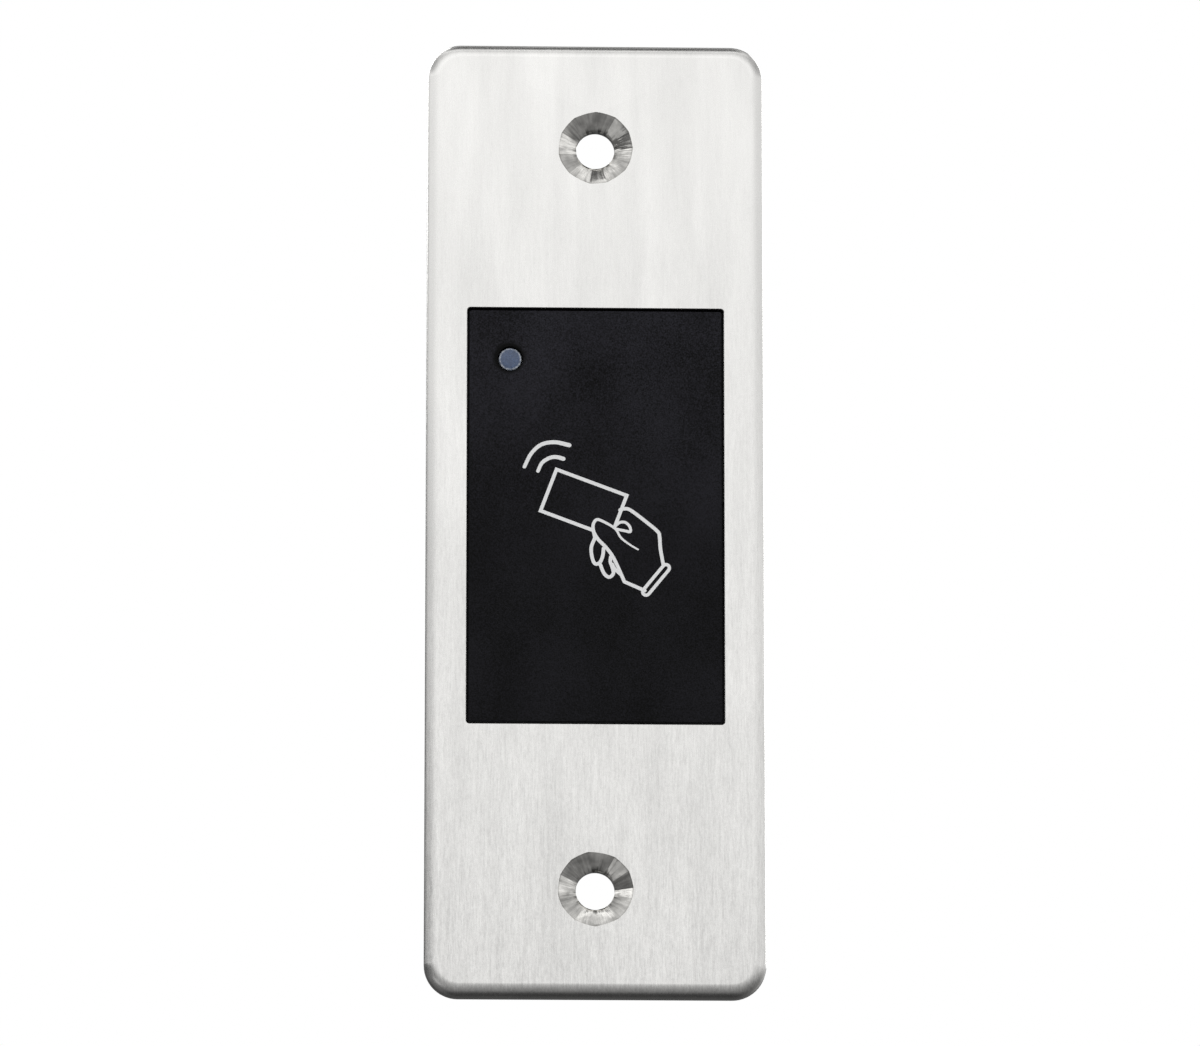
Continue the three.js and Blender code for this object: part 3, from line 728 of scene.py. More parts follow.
def stroke(points, width, end_width=None, smooth=True):
    """The outline of a pen stroke with round ends, which may taper towards its last point."""
    points = [Vector(p) for p in points]
    path = smooth_path(points) if smooth else points
    end_width = width if end_width is None else end_width
    left, right = [], []
    for i, point in enumerate(path):
        before, after = path[max(i - 1, 0)], path[min(i + 1, len(path) - 1)]
        half = (width + (end_width - width) * i / (len(path) - 1)) / 2
        arm = (after - before).normalized().orthogonal() * half
        left.append(point + arm)
        right.append(point - arm)

    def cap(centre, start):
        """Half a circle that goes on from the point start to the other side of the stroke."""
        arm = start - centre
        across = Vector((arm.y, -arm.x))
        turns = [pi * i / 8 for i in range(1, 8)]
        return [centre + arm * cos(turn) + across * sin(turn) for turn in turns]

    return [*left, *cap(path[-1], left[-1]), *reversed(right), *cap(path[0], right[0])]


def tilted_box(centre, length, width, tilt, grow):
    """Corners of a rectangle turned by tilt degrees, with each side moved out by grow."""
    c, s = cos(radians(tilt)), sin(radians(tilt))
    half_x, half_y = length / 2 + grow, width / 2 + grow
    corners = [(half_x, half_y), (-half_x, half_y), (-half_x, -half_y), (half_x, -half_y)]
    return [Vector((centre[0] + x * c - y * s, centre[1] + x * s + y * c)) for x, y in corners]


def pictogram():
    """A hand that holds up a card, and two waves, as a thin layer of ink on the film."""
    line, bold, thin = 0.42, 0.5, 0.34
    card = ((-1.4, 1.45), 8.85, 5.35, -20.5)  # centre, length, width and tilt
    outer_wave = [(-8.4, 5.8), (-7.6, 7.4), (-6.4, 8.5), (-4.8, 8.8), (-3.1, 8.45)]
    inner_wave = [(-6.8, 5.3), (-6.3, 6.3), (-5.4, 6.9), (-4.6, 7.0), (-3.8, 6.8)]
    thumb_back = [(-0.1, -2.6), (-0.3, -1.3), (0.1, -0.55), (0.9, -0.75)]
    thumb = [*thumb_back, (2.3, -1.6), (3.0, -2.7), (4.0, -3.5), (5.0, -4.1)]
    palm = [(-0.2, -2.1), (0.3, -2.9), (1.3, -3.95), (2.1, -5.1), (2.8, -6.6), (3.4, -8.0)]
    wrist, cuff = [(3.4, -8.0), (5.8, -9.05)], [(5.95, -9.2), (8.3, -6.3)]
    knuckles = [(2.9, 0.65), (3.4, 0.8), (4.1, 0.65), (5.7, -0.55), (7.3, -1.9)]
    knuckles += [(7.55, -2.6), (7.65, -4.0), (8.0, -6.0)]
    fingertip = [(2.4, -1.2), (2.9, -0.85), (3.5, -0.85), (4.0, -1.3), (4.1, -1.95), (3.4, -1.85)]
    fingertip.append((2.4, -1.65))
    upper_finger = [(-0.1, -2.8), (-0.5, -3.9), (-0.4, -5.1), (-0.05, -5.85)]
    upper_finger += [(0.5, -5.7), (0.85, -4.9), (0.95, -4.0)]
    middle_finger = [(0.5, -5.8), (1.0, -7.0), (1.6, -7.45), (2.1, -7.0)]
    middle_finger += [(1.95, -6.2), (1.75, -5.6), (1.8, -5.0)]
    lower_finger = [(2.0, -5.9), (2.3, -6.5), (2.9, -7.1)]
    solid = [stroke(wave, line, bold) for wave in (outer_wave, inner_wave)]
    solid += [stroke(thumb, line, 0.2), stroke(palm, line), stroke(wrist, line, smooth=False)]
    solid += [stroke(knuckles, line), stroke(fingertip, thin)]
    solid += [stroke(upper_finger, line), stroke(middle_finger, line), stroke(lower_finger, 0.36)]
    hollow = [tilted_box(*card, line / 2), tilted_box(*card, -line / 2)]
    hollow += [stroke(cuff, 1.2, smooth=False), stroke(cuff, 0.42, smooth=False)]
    # The thumb is in front of the card, whose outline stops where the thumb's begins.
    behind_thumb = [Vector(p) for p in (*thumb_back, (2.0, -1.4), (2.9, -2.6), (2.0, -5.0))]

    def keep(within):
        in_card, in_card_hollow, in_cuff, in_cuff_hollow, hidden = within[len(solid) :]
        card_ink = in_card and not in_card_hollow and not hidden
        return any(within[: len(solid)]) or card_ink or (in_cuff and not in_cuff_hollow)

    points, faces, _ = triangles_of([*solid, *hollow, behind_thumb], keep)
    skin = Skin("front_film")
    used = sorted({i for face in faces for i in face})
    gap, thickness = 0.002, 0.02
    levels = (skin.front + gap, skin.front + gap + thickness)
    below, above = [{i: skin.bm.verts.new(at(*points[i], h)) for i in used} for h in levels]
    sides = set()
    for face in faces:
        skin.face([above[i] for i in face])
        skin.face([below[i] for i in reversed(face)])
        for a, b in zip(face, face[1:] + face[:1]):
            if (b, a) in sides:
                sides.remove((b, a))
            else:
                sides.add((a, b))
    for a, b in sorted(sides):
        skin.face((below[a], below[b], above[b], above[a]))
    skin.finish("card_pictogram", "pictogram_ink", INK, replaces=False)


# ---- Housing and rear cover


def housing():
    """The nose behind the film, the flange behind the plate, and the box for the electronics."""
    skin = Skin("front_housing")
    rim, nose_front = skin.back, skin.front
    flange_front = PLATE.back + 0.1
    flange_back = flange_front - 2.2
    seat = Box("circuit_board").front + 0.05
    nose_inside = nose_front - 1.95

    nose = rectangle(FILM.width + 0.2, FILM.height + 0.2, 0.3, steps=4)
    nose_rim, nose_foot = skin.wall(nose, [(-0.15, nose_front), (0, nose_front - 0.15), (0, flange_front)])
    edge = 0.25
    rims = [(-edge, flange_front), (0, flange_front - edge), (0, flange_back + edge), (-edge, flange_back)]
    flange_rim, flange_foot = skin.wall(rectangle(skin.width, skin.height, 2.5), rims)
    rims = [(0.5, flange_back), (0.15, flange_back - 0.15), (0, flange_back - 0.5)]
    rims += [(0, rim + 0.2), (-0.2, rim)]
    box_root, box_rim = skin.wall(rectangle(COVER.width, COVER.height, BOX_CORNER), rims)
    cavity = notched(CAVITY_WIDTH, CAVITY_HEIGHT, POST_X, POST_Y)
    cavity_rim, cavity_floor = skin.hole(cavity, (rim, seat))
    nose_cavity = notched(FILM.width - 3.0, FILM.height - 3.0, POST_X, POST_Y)
    nose_mouth, nose_ceiling = skin.hole(nose_cavity, (seat, nose_inside))
    lamp_hole, lamp_rim = skin.hole(disc(LENS_HOLE_RADIUS, LENS_X, LENS_Y), (nose_inside, nose_front))

    through = (flange_front, flange_back)
    flange_holes = [skin.hole(hole, through, 0.1) for hole in discs(1.45, "housing_screw", 4, 24)]
    post_holes = [skin.pit(hole, (rim, rim + 6.0), 0.15) for hole in discs(1.15, "cover_screw", 4, 20)]
    board_holes = [skin.pit(hole, (seat, seat + 1.9)) for hole in discs(0.95, "board_screw", 2, 20)]

    skin.lid(nose_rim, [lamp_rim])
    skin.lid(flange_rim, [nose_foot, *(pair[0] for pair in flange_holes)])
    skin.lid(flange_foot, [box_root, *(pair[1] for pair in flange_holes)])
    skin.lid(box_rim, [cavity_rim, *post_holes])
    skin.lid(cavity_floor, [nose_mouth, *board_holes])
    skin.lid(nose_ceiling, [lamp_hole])

    wall, reach, inset = COVER.height / 2, 4.5, 1.0  # of the webs between the flange and the box
    web = [(wall - inset, flange_back + 0.5), (wall + reach, flange_back + 0.5), (wall + reach, flange_back)]
    web += [(wall, flange_back - reach), (wall - inset, flange_back - reach)]
    for x in (-7, 7):
        for end in (1, -1):
            skin.prism([at(x - 0.6, end * y, h) for y, h in web], [at(x + 0.6, end * y, h) for y, h in web])
    skin.finish("moulded_housing", "black_shell", SHELL)


def rear_cover():
    """The cover, with counterbores, the cable's and the light's holes, the label's recess and a lip."""
    back, front, rounding = COVER.back, COVER.back + 2.0, 0.7
    skin = Skin("rear_cover")
    turns = [pi / 2 * step / 6 for step in range(7)]
    rims = [(-0.1, front), (0, front - 0.1)]
    rims += [(-rounding * (1 - cos(t)), back + rounding * (1 - sin(t))) for t in turns]
    front_rim, back_rim = skin.wall(rectangle(COVER.width, COVER.height, BOX_CORNER), rims)

    shanks, bores = [], []
    for bore, shank in zip(discs(2.25, "cover_screw", 4, 32), discs(1.3, "cover_screw", 4, 32)):
        bore_rim, bore_floor = skin.hole(bore, (back, back + 1.0))
        shank_mouth, shank_end = skin.hole(shank, (back + 1.0, front))
        skin.lid(bore_floor, [shank_mouth])
        bores.append(bore_rim)
        shanks.append(shank_end)
    cable, light, label = Box("cable_grommet"), Box("tamper_window"), Box("wiring_label")
    cable_back, cable_front = skin.hole(disc(4.5, cable.x, cable.y, 48), (back, front), 0.2)
    light_back, light_front = skin.hole(disc(2.55, light.x, light.y), (back, front), 0.1)
    recess = rectangle(label.width + 1, label.height + 1, 1.0, 0, label.y)
    recess_rim = skin.pit(recess, (back, back + 0.3), 0.08)
    skin.lid(back_rim, [*bores, cable_back, light_back, recess_rim])
    skin.lid(front_rim, [*shanks, cable_front, light_front])

    lip, gap, clearance = 1.3, 0.3, 0.6  # the lip's thickness, and its gaps to the wall and the posts
    lip_x, lip_y = (CAVITY_WIDTH - lip) / 2 - gap, (CAVITY_HEIGHT - lip) / 2 - gap
    long_x, long_y = 2 * (POST_X - clearance), 2 * (POST_Y - clearance)
    for end in (1, -1):
        for width, height, x, y in ((long_x, lip, 0, end * lip_y), (lip, long_y, end * lip_x, 0)):
            skin.slab(rectangle(width, height, 0.15, x, y, 2), front - 0.5, front + 1.2, 0.15)
    skin.finish("moulded_cover", "black_shell", SHELL)


def cable_grommet():
    """A ribbed rubber grommet that snaps into the cover."""
    skin = Skin("cable_grommet")
    outside, inside_end = skin.back, skin.front
    bore, neck, collar = 3.1, 4.4, 5.9
    barb, rib = collar - 0.6, bore + 0.25
    back, front = COVER.back - 0.05, COVER.back + 2.05
    rims = [(bore + 0.3, outside), (collar - 1.3, outside), (collar - 1.0, outside + 0.1)]
    rims += [(barb, outside + 0.55), (barb + 0.05, outside + 0.75), (collar - 0.1, outside + 0.85)]
    rims += [(collar, outside + 1.0), (collar, back - 0.1), (collar - 0.1, back), (neck, back), (neck, front)]
    rims += [(barb, front), (barb + 0.05, front + 0.2), (collar - 1.0, inside_end), (bore + 0.15, inside_end)]
    rims.append((bore, inside_end - 0.2))
    for middle in (1.7, 2.9):
        ribs = ((bore, middle - 0.3), (rib, middle), (bore, middle + 0.3))
        rims += [(radius, inside_end - depth) for radius, depth in ribs]
    rims.append((bore, outside + 0.3))
    skin.wall(disc(0, skin.x, skin.y, 48), rims, closed=True)
    skin.finish("ribbed_grommet", "black_rubber", RUBBER)


def wiring_label():
    skin = Skin("wiring_label")
    skin.slab(rectangle(skin.width, skin.height, 0.8, 0, skin.y), skin.back, skin.front, 0.03)
    skin.finish("colour_chart_label", "label_stock", LABEL)


def tamper_window():
    """A clear plug with a slightly domed face."""
    skin = Skin("tamper_window")
    shoulder = skin.front - 0.65
    rims = [(2.45 * share, skin.back + 0.22 * share**2) for share in (0.08, 0.3, 0.5, 0.7, 0.85, 0.95)]
    rims += [(2.5, skin.back + 0.35), (2.5, shoulder), (3.2, shoulder), (3.2, skin.front - 0.1)]
    rims.append((3.1, skin.front))
    skin.solid(disc(0, skin.x, skin.y, 48), rims)
    skin.finish("clear_plug", "clear_plastic", PLUG)


def gasket(name, node, outer, inner):
    skin = Skin(node)
    skin.slab(outer, skin.back, skin.front, 0.08, [inner])
    skin.finish(name, "black_rubber", RUBBER)


def gaskets():
    outer = rectangle(34.6, 58.0, 2.0)
    inner = rectangle(WINDOW_WIDTH + 0.7, WINDOW_HEIGHT + 0.7, 0.6)
    gasket("window_gasket", "window_seal", outer, inner)
    outer = rectangle(COVER.width - 0.6, COVER.height - 0.6, BOX_CORNER - 0.3)
    inner = rectangle(CAVITY_WIDTH + 0.2, CAVITY_HEIGHT + 0.2, 0.7)
    gasket("cover_gasket", "cover_seal", outer, inner)


# ---- Screws


def pan_head_screw(node, diameter, head_diameter, head_height, pitch):
    """A pan head screw with a cross recess. Its head is at the back and its thread runs to the front."""
    skin = Skin(node)
    top, tip = skin.back, skin.front
    radius, head, start = diameter / 2, head_diameter / 2, top + head_height + 0.2
    crown = [(0.6, 0.0), (0.78, 0.04), (0.9, 0.14), (0.97, 0.32), (1.0, 0.6), (1.0, 0.95), (0.97, 1.0)]
    rims = [(head * share, top + head_height * depth) for share, depth in crown]
    rims += [(radius, top + head_height), (radius, start)]
    h = start
    while h + pitch < tip - 0.4:
        rims += [(radius, h), (radius - 0.22 * pitch, h + pitch * 0.4), (radius, h + pitch * 0.8)]
        h += pitch
    rims += [(radius - 0.1, tip - 0.3), (radius - 0.35, tip)]

    crown_rim, point = skin.wall(disc(0, skin.x, skin.y), rims)
    skin.lid(point)
    reach, width, depth = head * 0.55, head * 0.22, head_height * 0.58
    recess = cross(reach, width, top, skin.x, skin.y)
    recess_floor = cross(reach * 0.62, width * 0.8, top + depth, skin.x, skin.y)
    mouth, floor = skin.bands([recess, recess_floor])
    skin.lid(floor)
    skin.lid(crown_rim, [mouth])
    skin.finish(f"{node}_zinc", "screw_steel", ZINC, crease=28.0)


def screws():
    for number in range(1, 5):
        pan_head_screw(f"housing_screw_{number}", 2.5, 4.5, 1.5, 0.45)
        pan_head_screw(f"cover_screw_{number}", 2.2, 4.0, 1.2, 0.8)
    for number in range(1, 3):
        pan_head_screw(f"board_screw_{number}", 1.8, 3.4, 1.1, 0.6)


# ---- Antenna and circuit board


def antenna_coil():
    """A flat coil of enamelled wire: five turns side by side, in three layers."""
    skin = Skin("antenna_coil")
    band, corner, turns, layers = 2.5, 6.0, 5, 3
    rise = (skin.front - skin.back) / layers
    for layer in range(layers):
        h = skin.back + (layer + 0.5) * rise
        for turn in range(turns):
            inset = (turn + 0.5) * band / turns
            path = rectangle(skin.width, skin.height, corner, 0, skin.y, 6)(-inset, h)
            skin.tube(path, 0.92 * rise / 2, closed=True)
    skin.finish("wound_coil", "copper_wire", COPPER)


def antenna_tail(node):
    """The end of the winding, bent down to the board."""
    skin = Skin(node)
    radius, depth = 0.15, skin.front - skin.back
    side = 1 if skin.x > 0 else -1
    across, up = side * (skin.width / 2 - radius), skin.height / 2 - radius
    route = [
        at(skin.x - across, skin.y - up, skin.front),
        at(skin.x - across, skin.y - up + 0.1, skin.front - 0.3 * depth),
        at(skin.x + across, skin.y + up - 0.1, skin.back + 0.3 * depth),
        at(skin.x + across, skin.y + up, skin.back),
    ]
    skin.tube(smooth_path(route, 6), radius - 0.01, count=12)
    skin.finish(f"{node}_wire", "copper_wire", COPPER)


def circuit_board():
    """The board, notched round the screw posts, with the bare laminate at its edges."""
    skin = Skin("circuit_board")
    clearance = 0.3
    outline = notched(skin.width, skin.height, POST_X - clearance, POST_Y - clearance)
    skin.slab(outline, skin.back, skin.front, 0.05, discs(1.05, "board_screw", 2, 24), side=1)
    skin.finish("green_board", "green_board", BOARD, LAMINATE)


class Component(Skin):
    """One component on the back of the board, in its own frame.
    Seen from behind, u goes to the right, v up and t away from the board."""

    def __init__(self, node, centre_v=0.0):
        super().__init__(node)
        self.y += centre_v

    def place(self, u, v, t):
        return at(self.x - u, self.y + v, self.front - t)

    def disc(self, radius, u=0.0, v=0.0, count=24):
        return disc(radius, self.x - u, self.y + v, count)

    def brick(self, width, length, corner, levels, edge=0.08, u=0.0, v=0.0, **more):
        """A flat block between two levels of t, with rounded corners and broken edges."""
        low, high = levels
        outline = rectangle(width, length, corner, self.x - u, self.y + v, 6)
        self.slab(outline, self.front - high, self.front - low, edge, **more)

    def turned(self, profile, u=0.0, v=0.0, count=40, material=0):
        """A solid turned about t, from (radius, t) points, with flat ends."""
        self.solid(self.disc(0, u, v, count), [(r, self.front - t) for r, t in profile], material)

    def lead(self, reach, along, turns, level, width, material=1):
        """A gull wing lead that leaves the body at reach, turned by quarter turns about t."""
        bend = [(-0.3, level), (-0.3, level - 0.18), (0.2, level - 0.18), (0.4, 0.0), (1.0, 0.0), (1.0, 0.18)]
        bend += [(0.6, 0.18), (0.52, 0.24), (0.37, level - 0.07), (0.28, level)]
        c, s = ((1, 0), (0, 1), (-1, 0), (0, -1))[turns]

        def side(offset):
            points = [(reach + out, along + offset, t) for out, t in bend]
            return [self.place(u * c - v * s, u * s + v * c, t) for u, v, t in points]

        self.prism(side(-width / 2), side(width / 2), material)


def chip(node, name, size, leads, pitch, lead_width, sides):
    """A moulded chip with leads on two or four of its sides, and a dimple at its first pin."""
    width, length, height = size
    part = Component(node)
    dimple = (part.disc(0.4, -width / 2 + 1.1, length / 2 - 1.1), 0.1)
    pits = [dimple] if width > 2 else []
    part.brick(width, length, 0.12, (0.1, 0.1 + height), 0.16, pits=pits)
    for turns in range(0, 4, 4 // sides):
        edge = length / 2 if turns % 2 else width / 2
        for i in range(leads):
            part.lead(edge, (i - (leads - 1) / 2) * pitch, turns, height / 2 + 0.1, lead_width)
    part.finish(name, "chip_plastic", EPOXY, TIN)


def voltage_regulator():
    """A moulded body with a soldered heat tab above it and two leads below."""
    part = Component("voltage_regulator", centre_v=-0.325)
    part.brick(6.5, 6.1, 0.2, (0.05, 2.3), 0.2, pits=[(part.disc(0.7), 0.08)])
    part.brick(5.4, 2.2, 0.3, (0.0, 0.6), 0.06, v=3.6, material=1)
    for along in (-2.3, 2.3):
        part.lead(3.05, along, 3, 1.1, 0.8)
    part.finish("power_regulator", "chip_plastic", EPOXY, TIN)


def electrolytic_capacitor():
    """A drawn can, crimped above its black foot, with a cross scored in its top and a dark stripe."""
    part = Component("electrolytic_capacitor")
    part.brick(6.6, 6.6, 0.9, (0.0, 0.9), 0.1, material=1)
    lid, stripe_x, stripe_foot = 5.8, 2.5, 2.1
    profile = [(2.8, 0.8), (3.1, 1.0), (3.1, 1.5), (2.9, 1.7), (2.9, 1.85)]
    profile += [(3.1, 2.05), (3.1, 5.4), (3.03, 5.65), (2.85, lid)]
    foot_rim, lid_rim = part.wall(part.disc(0, count=48), [(r, part.front - t) for r, t in profile])
    part.lid(foot_rim)
    level = part.front - lid
    mouth, floor = part.bands([cross(1.9, 0.22, h, part.x, part.y) for h in (level, level + 0.1)])
    part.lid(floor)
    part.lid(lid_rim, [mouth])
    for face in part.bm.faces:
        centre = face.calc_center_median()
        if centre.x / MM - part.x > stripe_x and part.front + centre.y / MM > stripe_foot:
            face.material_index = 1
    part.finish("crimped_can", "tinned_can", TIN, EPOXY)


def crystal():
    part = Component("crystal")
    part.brick(11.4, 4.7, 2.3, (0.0, 0.5), 0.1)
    part.brick(10.3, 3.7, 1.8, (0.3, 3.5), 0.3)
    part.finish("crystal_can", "tinned_can", TIN)


def power_inductor():
    """A ferrite shield with a round core inside it, on two soldered pads."""
    part = Component("power_inductor")
    part.brick(6, 6, 1.2, (0.1, 2.9), 0.15, pits=[(part.disc(2.45, count=40), 0.5)])
    part.turned([(2.1, 2.3), (2.1, 3.0), (2.0, 3.1)])
    for u in (-2.4, 2.4):
        part.brick(1.6, 3.4, 0.1, (0.0, 0.4), 0.05, u, material=1)
    part.finish("shielded_coil", "chip_plastic", EPOXY, TIN)


def buzzer():
    """A moulded can with a stepped top and a sound hole."""
    part = Component("buzzer")
    profile = [(5.9, 0.0), (6.0, 0.1), (6.0, 6.1), (5.7, 6.4), (5.0, 6.4), (4.9, 6.3), (1.8, 6.3), (1.6, 6.5)]
    profile += [(1.15, 6.5), (1.1, 6.4), (1.1, 5.0)]
    part.turned(profile, count=64)
    part.finish("sound_buzzer", "chip_plastic", EPOXY)


def wire_header():
    """An eight way header: an open box with two key slots in its lower wall, and square pins."""
    part = Component("wire_header")
    ways, pitch = 8, 2.0
    outer, inner, slot = 9.1, 8.3, 5.8
    part.brick(2 * outer, 5.0, 0.15, (0.0, 1.4), 0.06)
    part.brick(2 * outer, 0.7, 0.1, (1.3, 2.0), 0.03, v=-2.15)
    part.brick(8.4, 0.7, 0.1, (1.3, 6.0), 0.06, v=-2.15)
    wall = [(-outer, -2.5), (-slot, -2.5), (-slot, -1.8), (-inner, -1.8), (-inner, 1.8), (inner, 1.8)]
    wall += [(inner, -1.8), (slot, -1.8), (slot, -2.5), (outer, -2.5), (outer, 2.5), (-outer, 2.5)]
    part.prism([part.place(u, v, 1.3) for u, v in wall], [part.place(u, v, 6.0) for u, v in wall])
    for i in range(ways):
        part.brick(0.5, 0.5, 0.05, (1.0, 5.0), 0.12, (i - (ways - 1) / 2) * pitch, 0.3, material=1)
    part.finish("keyed_header", "white_plastic", NYLON, TIN)


def tamper_light_sensor():
    """A ceramic disc with a track of five bars on it, on two stiff leads."""
    part = Component("tamper_light_sensor")
    height = part.front - part.back
    head = height - 2.0
    part.turned([(2.4, head), (2.5, head + 0.15), (2.5, head + 1.75), (2.35, head + 1.92)])
    track = 1.9
    for v in (-1.5, -0.75, 0.0, 0.75, 1.5):
        length = 2 * sqrt(track**2 - v**2)
        part.brick(length, 0.3, 0.1, (head + 1.8, height), 0.03, v=v, material=1)
    for u in (-1.7, 1.7):
        part.turned([(0.25, 0.05), (0.25, head + 0.3)], u, 0, 12, material=1)
    part.finish("light_cell", "ceramic", CERAMIC, TIN)


def diode(node):
    """A moulded diode with soldered ends and a pale band at its cathode."""
    part = Component(node)
    part.brick(4.3, 2.6, 0.15, (0.1, 2.17), 0.2)
    for u in (-1.9, 1.9):
        part.brick(1.3, 1.5, 0.08, (0.0, 0.9), 0.04, u, material=1)
    part.brick(0.5, 2.1, 0.05, (2.1, 2.2), 0.01, -1.35, material=1)
    part.finish(f"{node}_body", "chip_plastic", EPOXY, TIN)


def chip_part(node, slot, body, height):
    """A chip resistor or capacitor with tinned ends."""
    part = Component(node)
    width = 1.25
    bricks = [(0.0, 1.5, width - 0.06, (0.03, height - 0.03), 0)]
    bricks += [(end, 0.44, width, (0.0, height), 1) for end in (-0.78, 0.78)]
    for offset, length, width, levels, material in bricks:
        if part.height > part.width:
            part.brick(width, length, 0.06, levels, 0.05, v=offset, material=material)
        else:
            part.brick(length, width, 0.06, levels, 0.05, u=offset, material=material)
    part.finish(f"{node}_chip", slot, body, TIN)


def indicator_led():
    """The lamp, on the front of the board: a white cup with a domed lens in it."""
    skin = Skin("indicator_led")
    rise, cup = skin.front - skin.back, 0.36 * min(skin.width, skin.height)
    rims = [(-0.05, skin.back), (0, skin.back + 0.05), (0, skin.front - 0.08), (-0.08, skin.front)]
    back_rim, front_rim = skin.wall(rectangle(skin.width, skin.height, 0.15, skin.x, skin.y), rims)
    skin.lid(back_rim)
    axis = disc(0, skin.x, skin.y)
    mouth, floor = skin.wall(axis, [(cup, skin.front), (0.75 * cup, skin.front - 0.3 * rise)])
    skin.lid(floor)
    skin.lid(front_rim, [mouth])
    turns = (0.0, 0.3, 0.6, 0.9, 1.2, 1.45)
    dome = [(cup * 0.7 * cos(t), skin.front - rise * 0.28 * (1 - sin(t))) for t in turns]
    skin.solid(axis, dome, material=1)
    skin.finish("lamp_cup", "white_plastic", NYLON, PLUG)


def electronics():
    circuit_board()
    antenna_coil()
    antenna_tail("antenna_tail_1")
    antenna_tail("antenna_tail_2")
    indicator_led()
    wire_header()
    chip("microcontroller", "controller_chip", (7.0, 7.0, 1.4), 8, 0.8, 0.35, 4)
    chip("rf_front_end", "radio_chip", (3.9, 9.9, 1.5), 8, 1.27, 0.42, 2)
    for number in (1, 2):
        chip(f"transistor_{number}", f"transistor_{number}_body", (1.4, 3.0, 1.1), 2, 1.9, 0.42, 2)
        diode(f"diode_{number}")
    crystal()
    power_inductor()
    voltage_regulator()
    electrolytic_capacitor()
    buzzer()
    tamper_light_sensor()
    for number in range(1, 7):
        chip_part(f"resistor_{number}", "chip_plastic", EPOXY, 0.55)
    for number in range(1, 4):
        chip_part(f"ceramic_capacitor_{number}", "ceramic", CERAMIC, 1.2)


# ---- Stage: floor, light and camera

# The studio's light as a share of LIGHT_STRENGTH, by height, from straight down, -1, to straight up, 1.
LIGHT_STRENGTH = 1.94
FRONT_LIGHT = [(-1.0, 0.02), (-0.9, 0.03), (-0.73, 0.12), (-0.45, 0.155), (-0.1, 0.27), (0.07, 0.32)]
FRONT_LIGHT += [(0.2, 0.55), (0.35, 0.685), (0.6, 0.63), (0.78, 0.42), (0.86, 0.32), (0.89, 0.7)]
FRONT_LIGHT += [(0.92, 0.7), (0.94, 0.15), (0.97, 0.05), (1.0, 0.02)]
LEFT_LIGHT = [(-1.0, 0.03), (-0.4, 0.11), (0.0, 0.05), (0.12, 0.04), (0.185, 0.13), (0.24, 0.72)]
LEFT_LIGHT += [(0.33, 0.64), (0.42, 0.3), (0.55, 0.2), (0.8, 0.17), (0.93, 0.5), (1.0, 0.1)]
RIGHT_LIGHT = [(-1.0, 0.03), (-0.4, 0.1), (-0.15, 0.17), (0.05, 0.34), (0.17, 0.44)]
RIGHT_LIGHT += [(0.31, 0.54), (0.42, 0.2), (0.8, 0.2), (0.95, 0.5), (1.0, 0.1)]
BACK_RIGHT_LIGHT = [(-1.0, 0.02), (-0.7, 0.05), (-0.35, 0.22), (0.0, 0.3), (0.4, 0.2), (1.0, 0.02)]
BACK_LIGHT = [(-1.0, 0.015), (-0.3, 0.02), (0.0, 0.035), (0.4, 0.05), (0.7, 0.03), (1.0, 0.02)]
PANEL_LIGHT = 0.26


def stage_floor():
    """A plain pale floor, well below the reader, which hangs at the height of a wall."""
    bpy.ops.mesh.primitive_plane_add(size=8.0, location=(0, 0, -0.215))
    floor = bpy.context.object
    floor.name = "pale_floor"
    finish = Finish("pale_floor", (0.86, 0.86, 0.85), 0.6)
    finish.paint(finish.shades(finish.noise(60.0), 0.985, 1.015))
    floor.data.materials.append(finish.material)
    floor.visible_glossy = False


def direction_of(azimuth, elevation):
    a, e = radians(azimuth), radians(elevation)
    return Vector((sin(a) * cos(e), -cos(a) * cos(e), sin(e)))


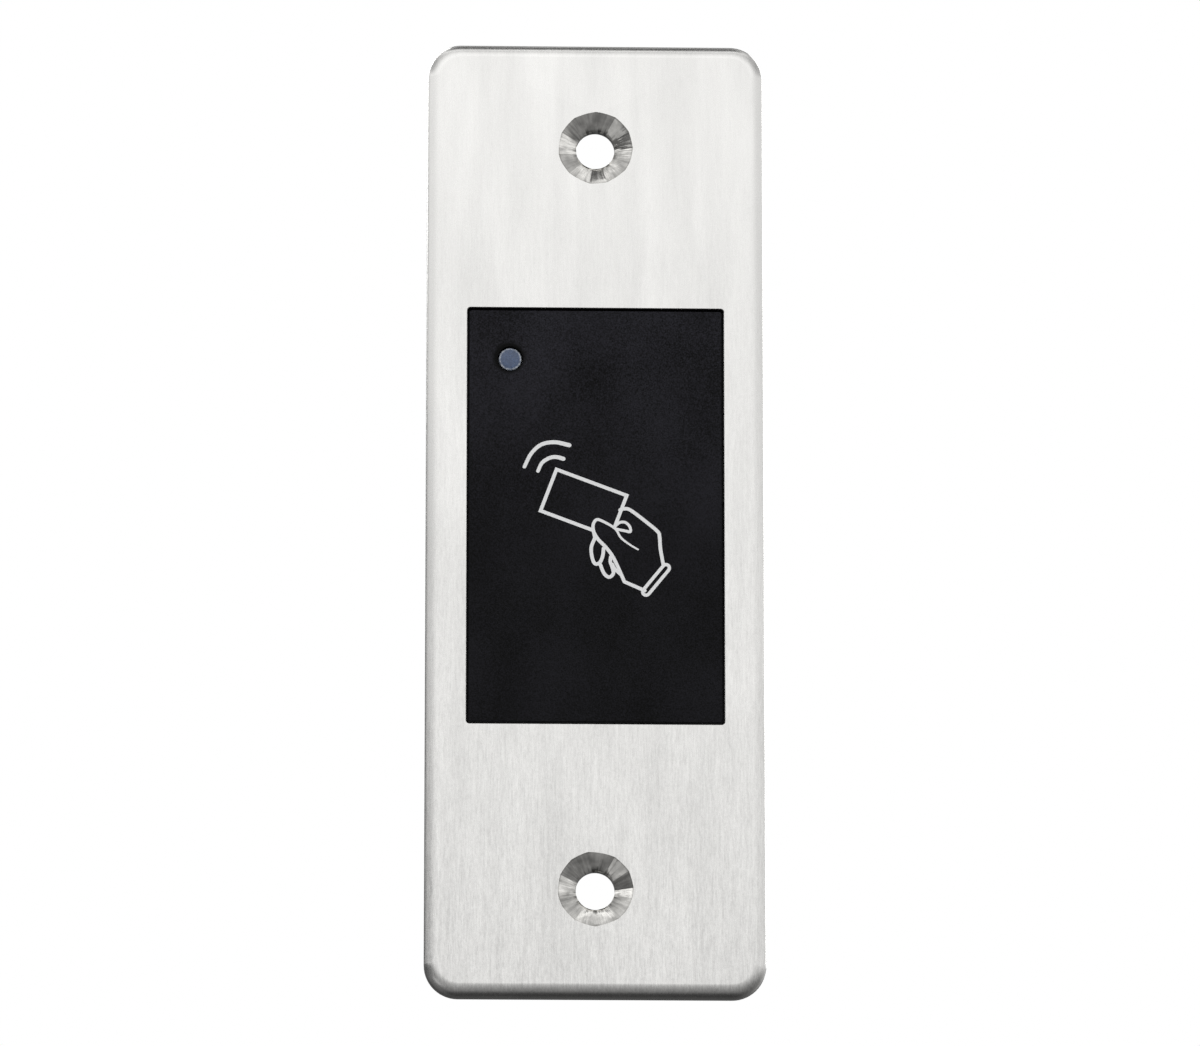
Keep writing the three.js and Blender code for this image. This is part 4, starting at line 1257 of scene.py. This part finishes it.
def studio_world():
    """Soft light that is bright in front, where the studio's big diffuser stands, and dim below and behind.
    The camera itself sees a plain white background."""
    world = bpy.data.worlds.new("studio")
    bpy.context.scene.world = world
    world.use_nodes = True
    world.node_tree.nodes.clear()
    sky = Nodes(world.node_tree)
    direction = sky.node("ShaderNodeTexCoord").outputs["Generated"]
    across, away, up = sky.axes(direction)

    def greys(value, stops):
        """Grey levels, which can't exceed 1, at places from -1 to 1."""
        colors = [((place + 1) / 2, (level, level, level)) for place, level in stops]
        return sky.ramp(sky.remap(value, 0.0, 1.0, (-1.0, 1.0)), colors, "B_SPLINE")

    def share(value, start, end, low, high):
        """A factor that goes from low to high between the places start and end."""
        return greys(value, [(-1.0, low), (start, low), (end, high), (1.0, high)])

    to_left = share(across, -0.68, -0.34, 1.0, 0.0)
    to_right = share(across, 0.25, 0.6, 0.0, 1.0)
    to_back = share(away, 0.15, 0.7, 0.0, 1.0)
    to_back_right = share(across, 0.3, 0.6, 0.0, 1.0)
    around = sky.mix(to_left, greys(up, FRONT_LIGHT), greys(up, LEFT_LIGHT))
    around = sky.mix(to_right, around, greys(up, RIGHT_LIGHT))
    behind = sky.mix(to_back_right, greys(up, BACK_LIGHT), greys(up, BACK_RIGHT_LIGHT))
    around = sky.mix(to_back, around, behind)

    # A low panel at the front left, for those who look at the reader from the right and above.
    aim = sky.node("ShaderNodeVectorMath", operation="DOT_PRODUCT")
    sky.join(direction, aim.inputs[0])
    sky.join(direction_of(-45, -25), aim.inputs[1])
    panel = sky.remap(aim.outputs["Value"], 0.0, 1.0, (0.971, 0.992), interpolation_type="SMOOTHSTEP")
    around = sky.mix(panel, around, (PANEL_LIGHT, PANEL_LIGHT, PANEL_LIGHT))

    def background(color, strength):
        made = sky.node("ShaderNodeBackground")
        sky.join(color, made.inputs["Color"])
        sky.join(strength, made.inputs["Strength"])
        return made.outputs["Background"]

    chosen = sky.node("ShaderNodeMixShader")
    sky.join(sky.node("ShaderNodeLightPath").outputs["Is Camera Ray"], chosen.inputs["Fac"])
    sky.join(background(around, LIGHT_STRENGTH), chosen.inputs[1])
    sky.join(background((1.0, 1.0, 1.0), 1.0), chosen.inputs[2])
    sky.join(chosen.outputs["Shader"], sky.node("ShaderNodeOutputWorld").inputs["Surface"])


def look_from(azimuth, elevation, distance, name, data, target):
    """A camera or a light that faces the target from that side."""
    made = bpy.data.objects.new(name, data)
    away = direction_of(azimuth, elevation)
    made.location = target + away * distance
    made.rotation_mode = "QUATERNION"
    made.rotation_quaternion = away.to_track_quat("Z", "Y")
    bpy.context.scene.collection.objects.link(made)
    return made


def soft_light(name, azimuth, elevation, power):
    data = bpy.data.lights.new(name, "AREA")
    data.shape = "DISK"
    data.size = 0.9
    data.energy = power
    look_from(azimuth, elevation, 1.2, name, data, Vector())


def camera():
    """Looks up at the reader from a little below and to its left, through a long lens."""
    data = bpy.data.cameras.new("camera")
    data.lens = 266.7
    data.sensor_width = 36.0
    bpy.context.scene.camera = look_from(-1.8, -12.6, 1.05, "camera", data, at(0.6, -0.42, 0))


camera()
studio_world()
stage_floor()
soft_light("back_left_light", 215, 35, 6.0)
soft_light("back_right_light", 140, 25, 4.0)

face_plate()
window_film()
lamp_lens()
pictogram()
housing()
rear_cover()
cable_grommet()
wiring_label()
tamper_window()
gaskets()
screws()
electronics()

view_settings = bpy.context.scene.view_settings
view_settings.view_transform = "Standard"
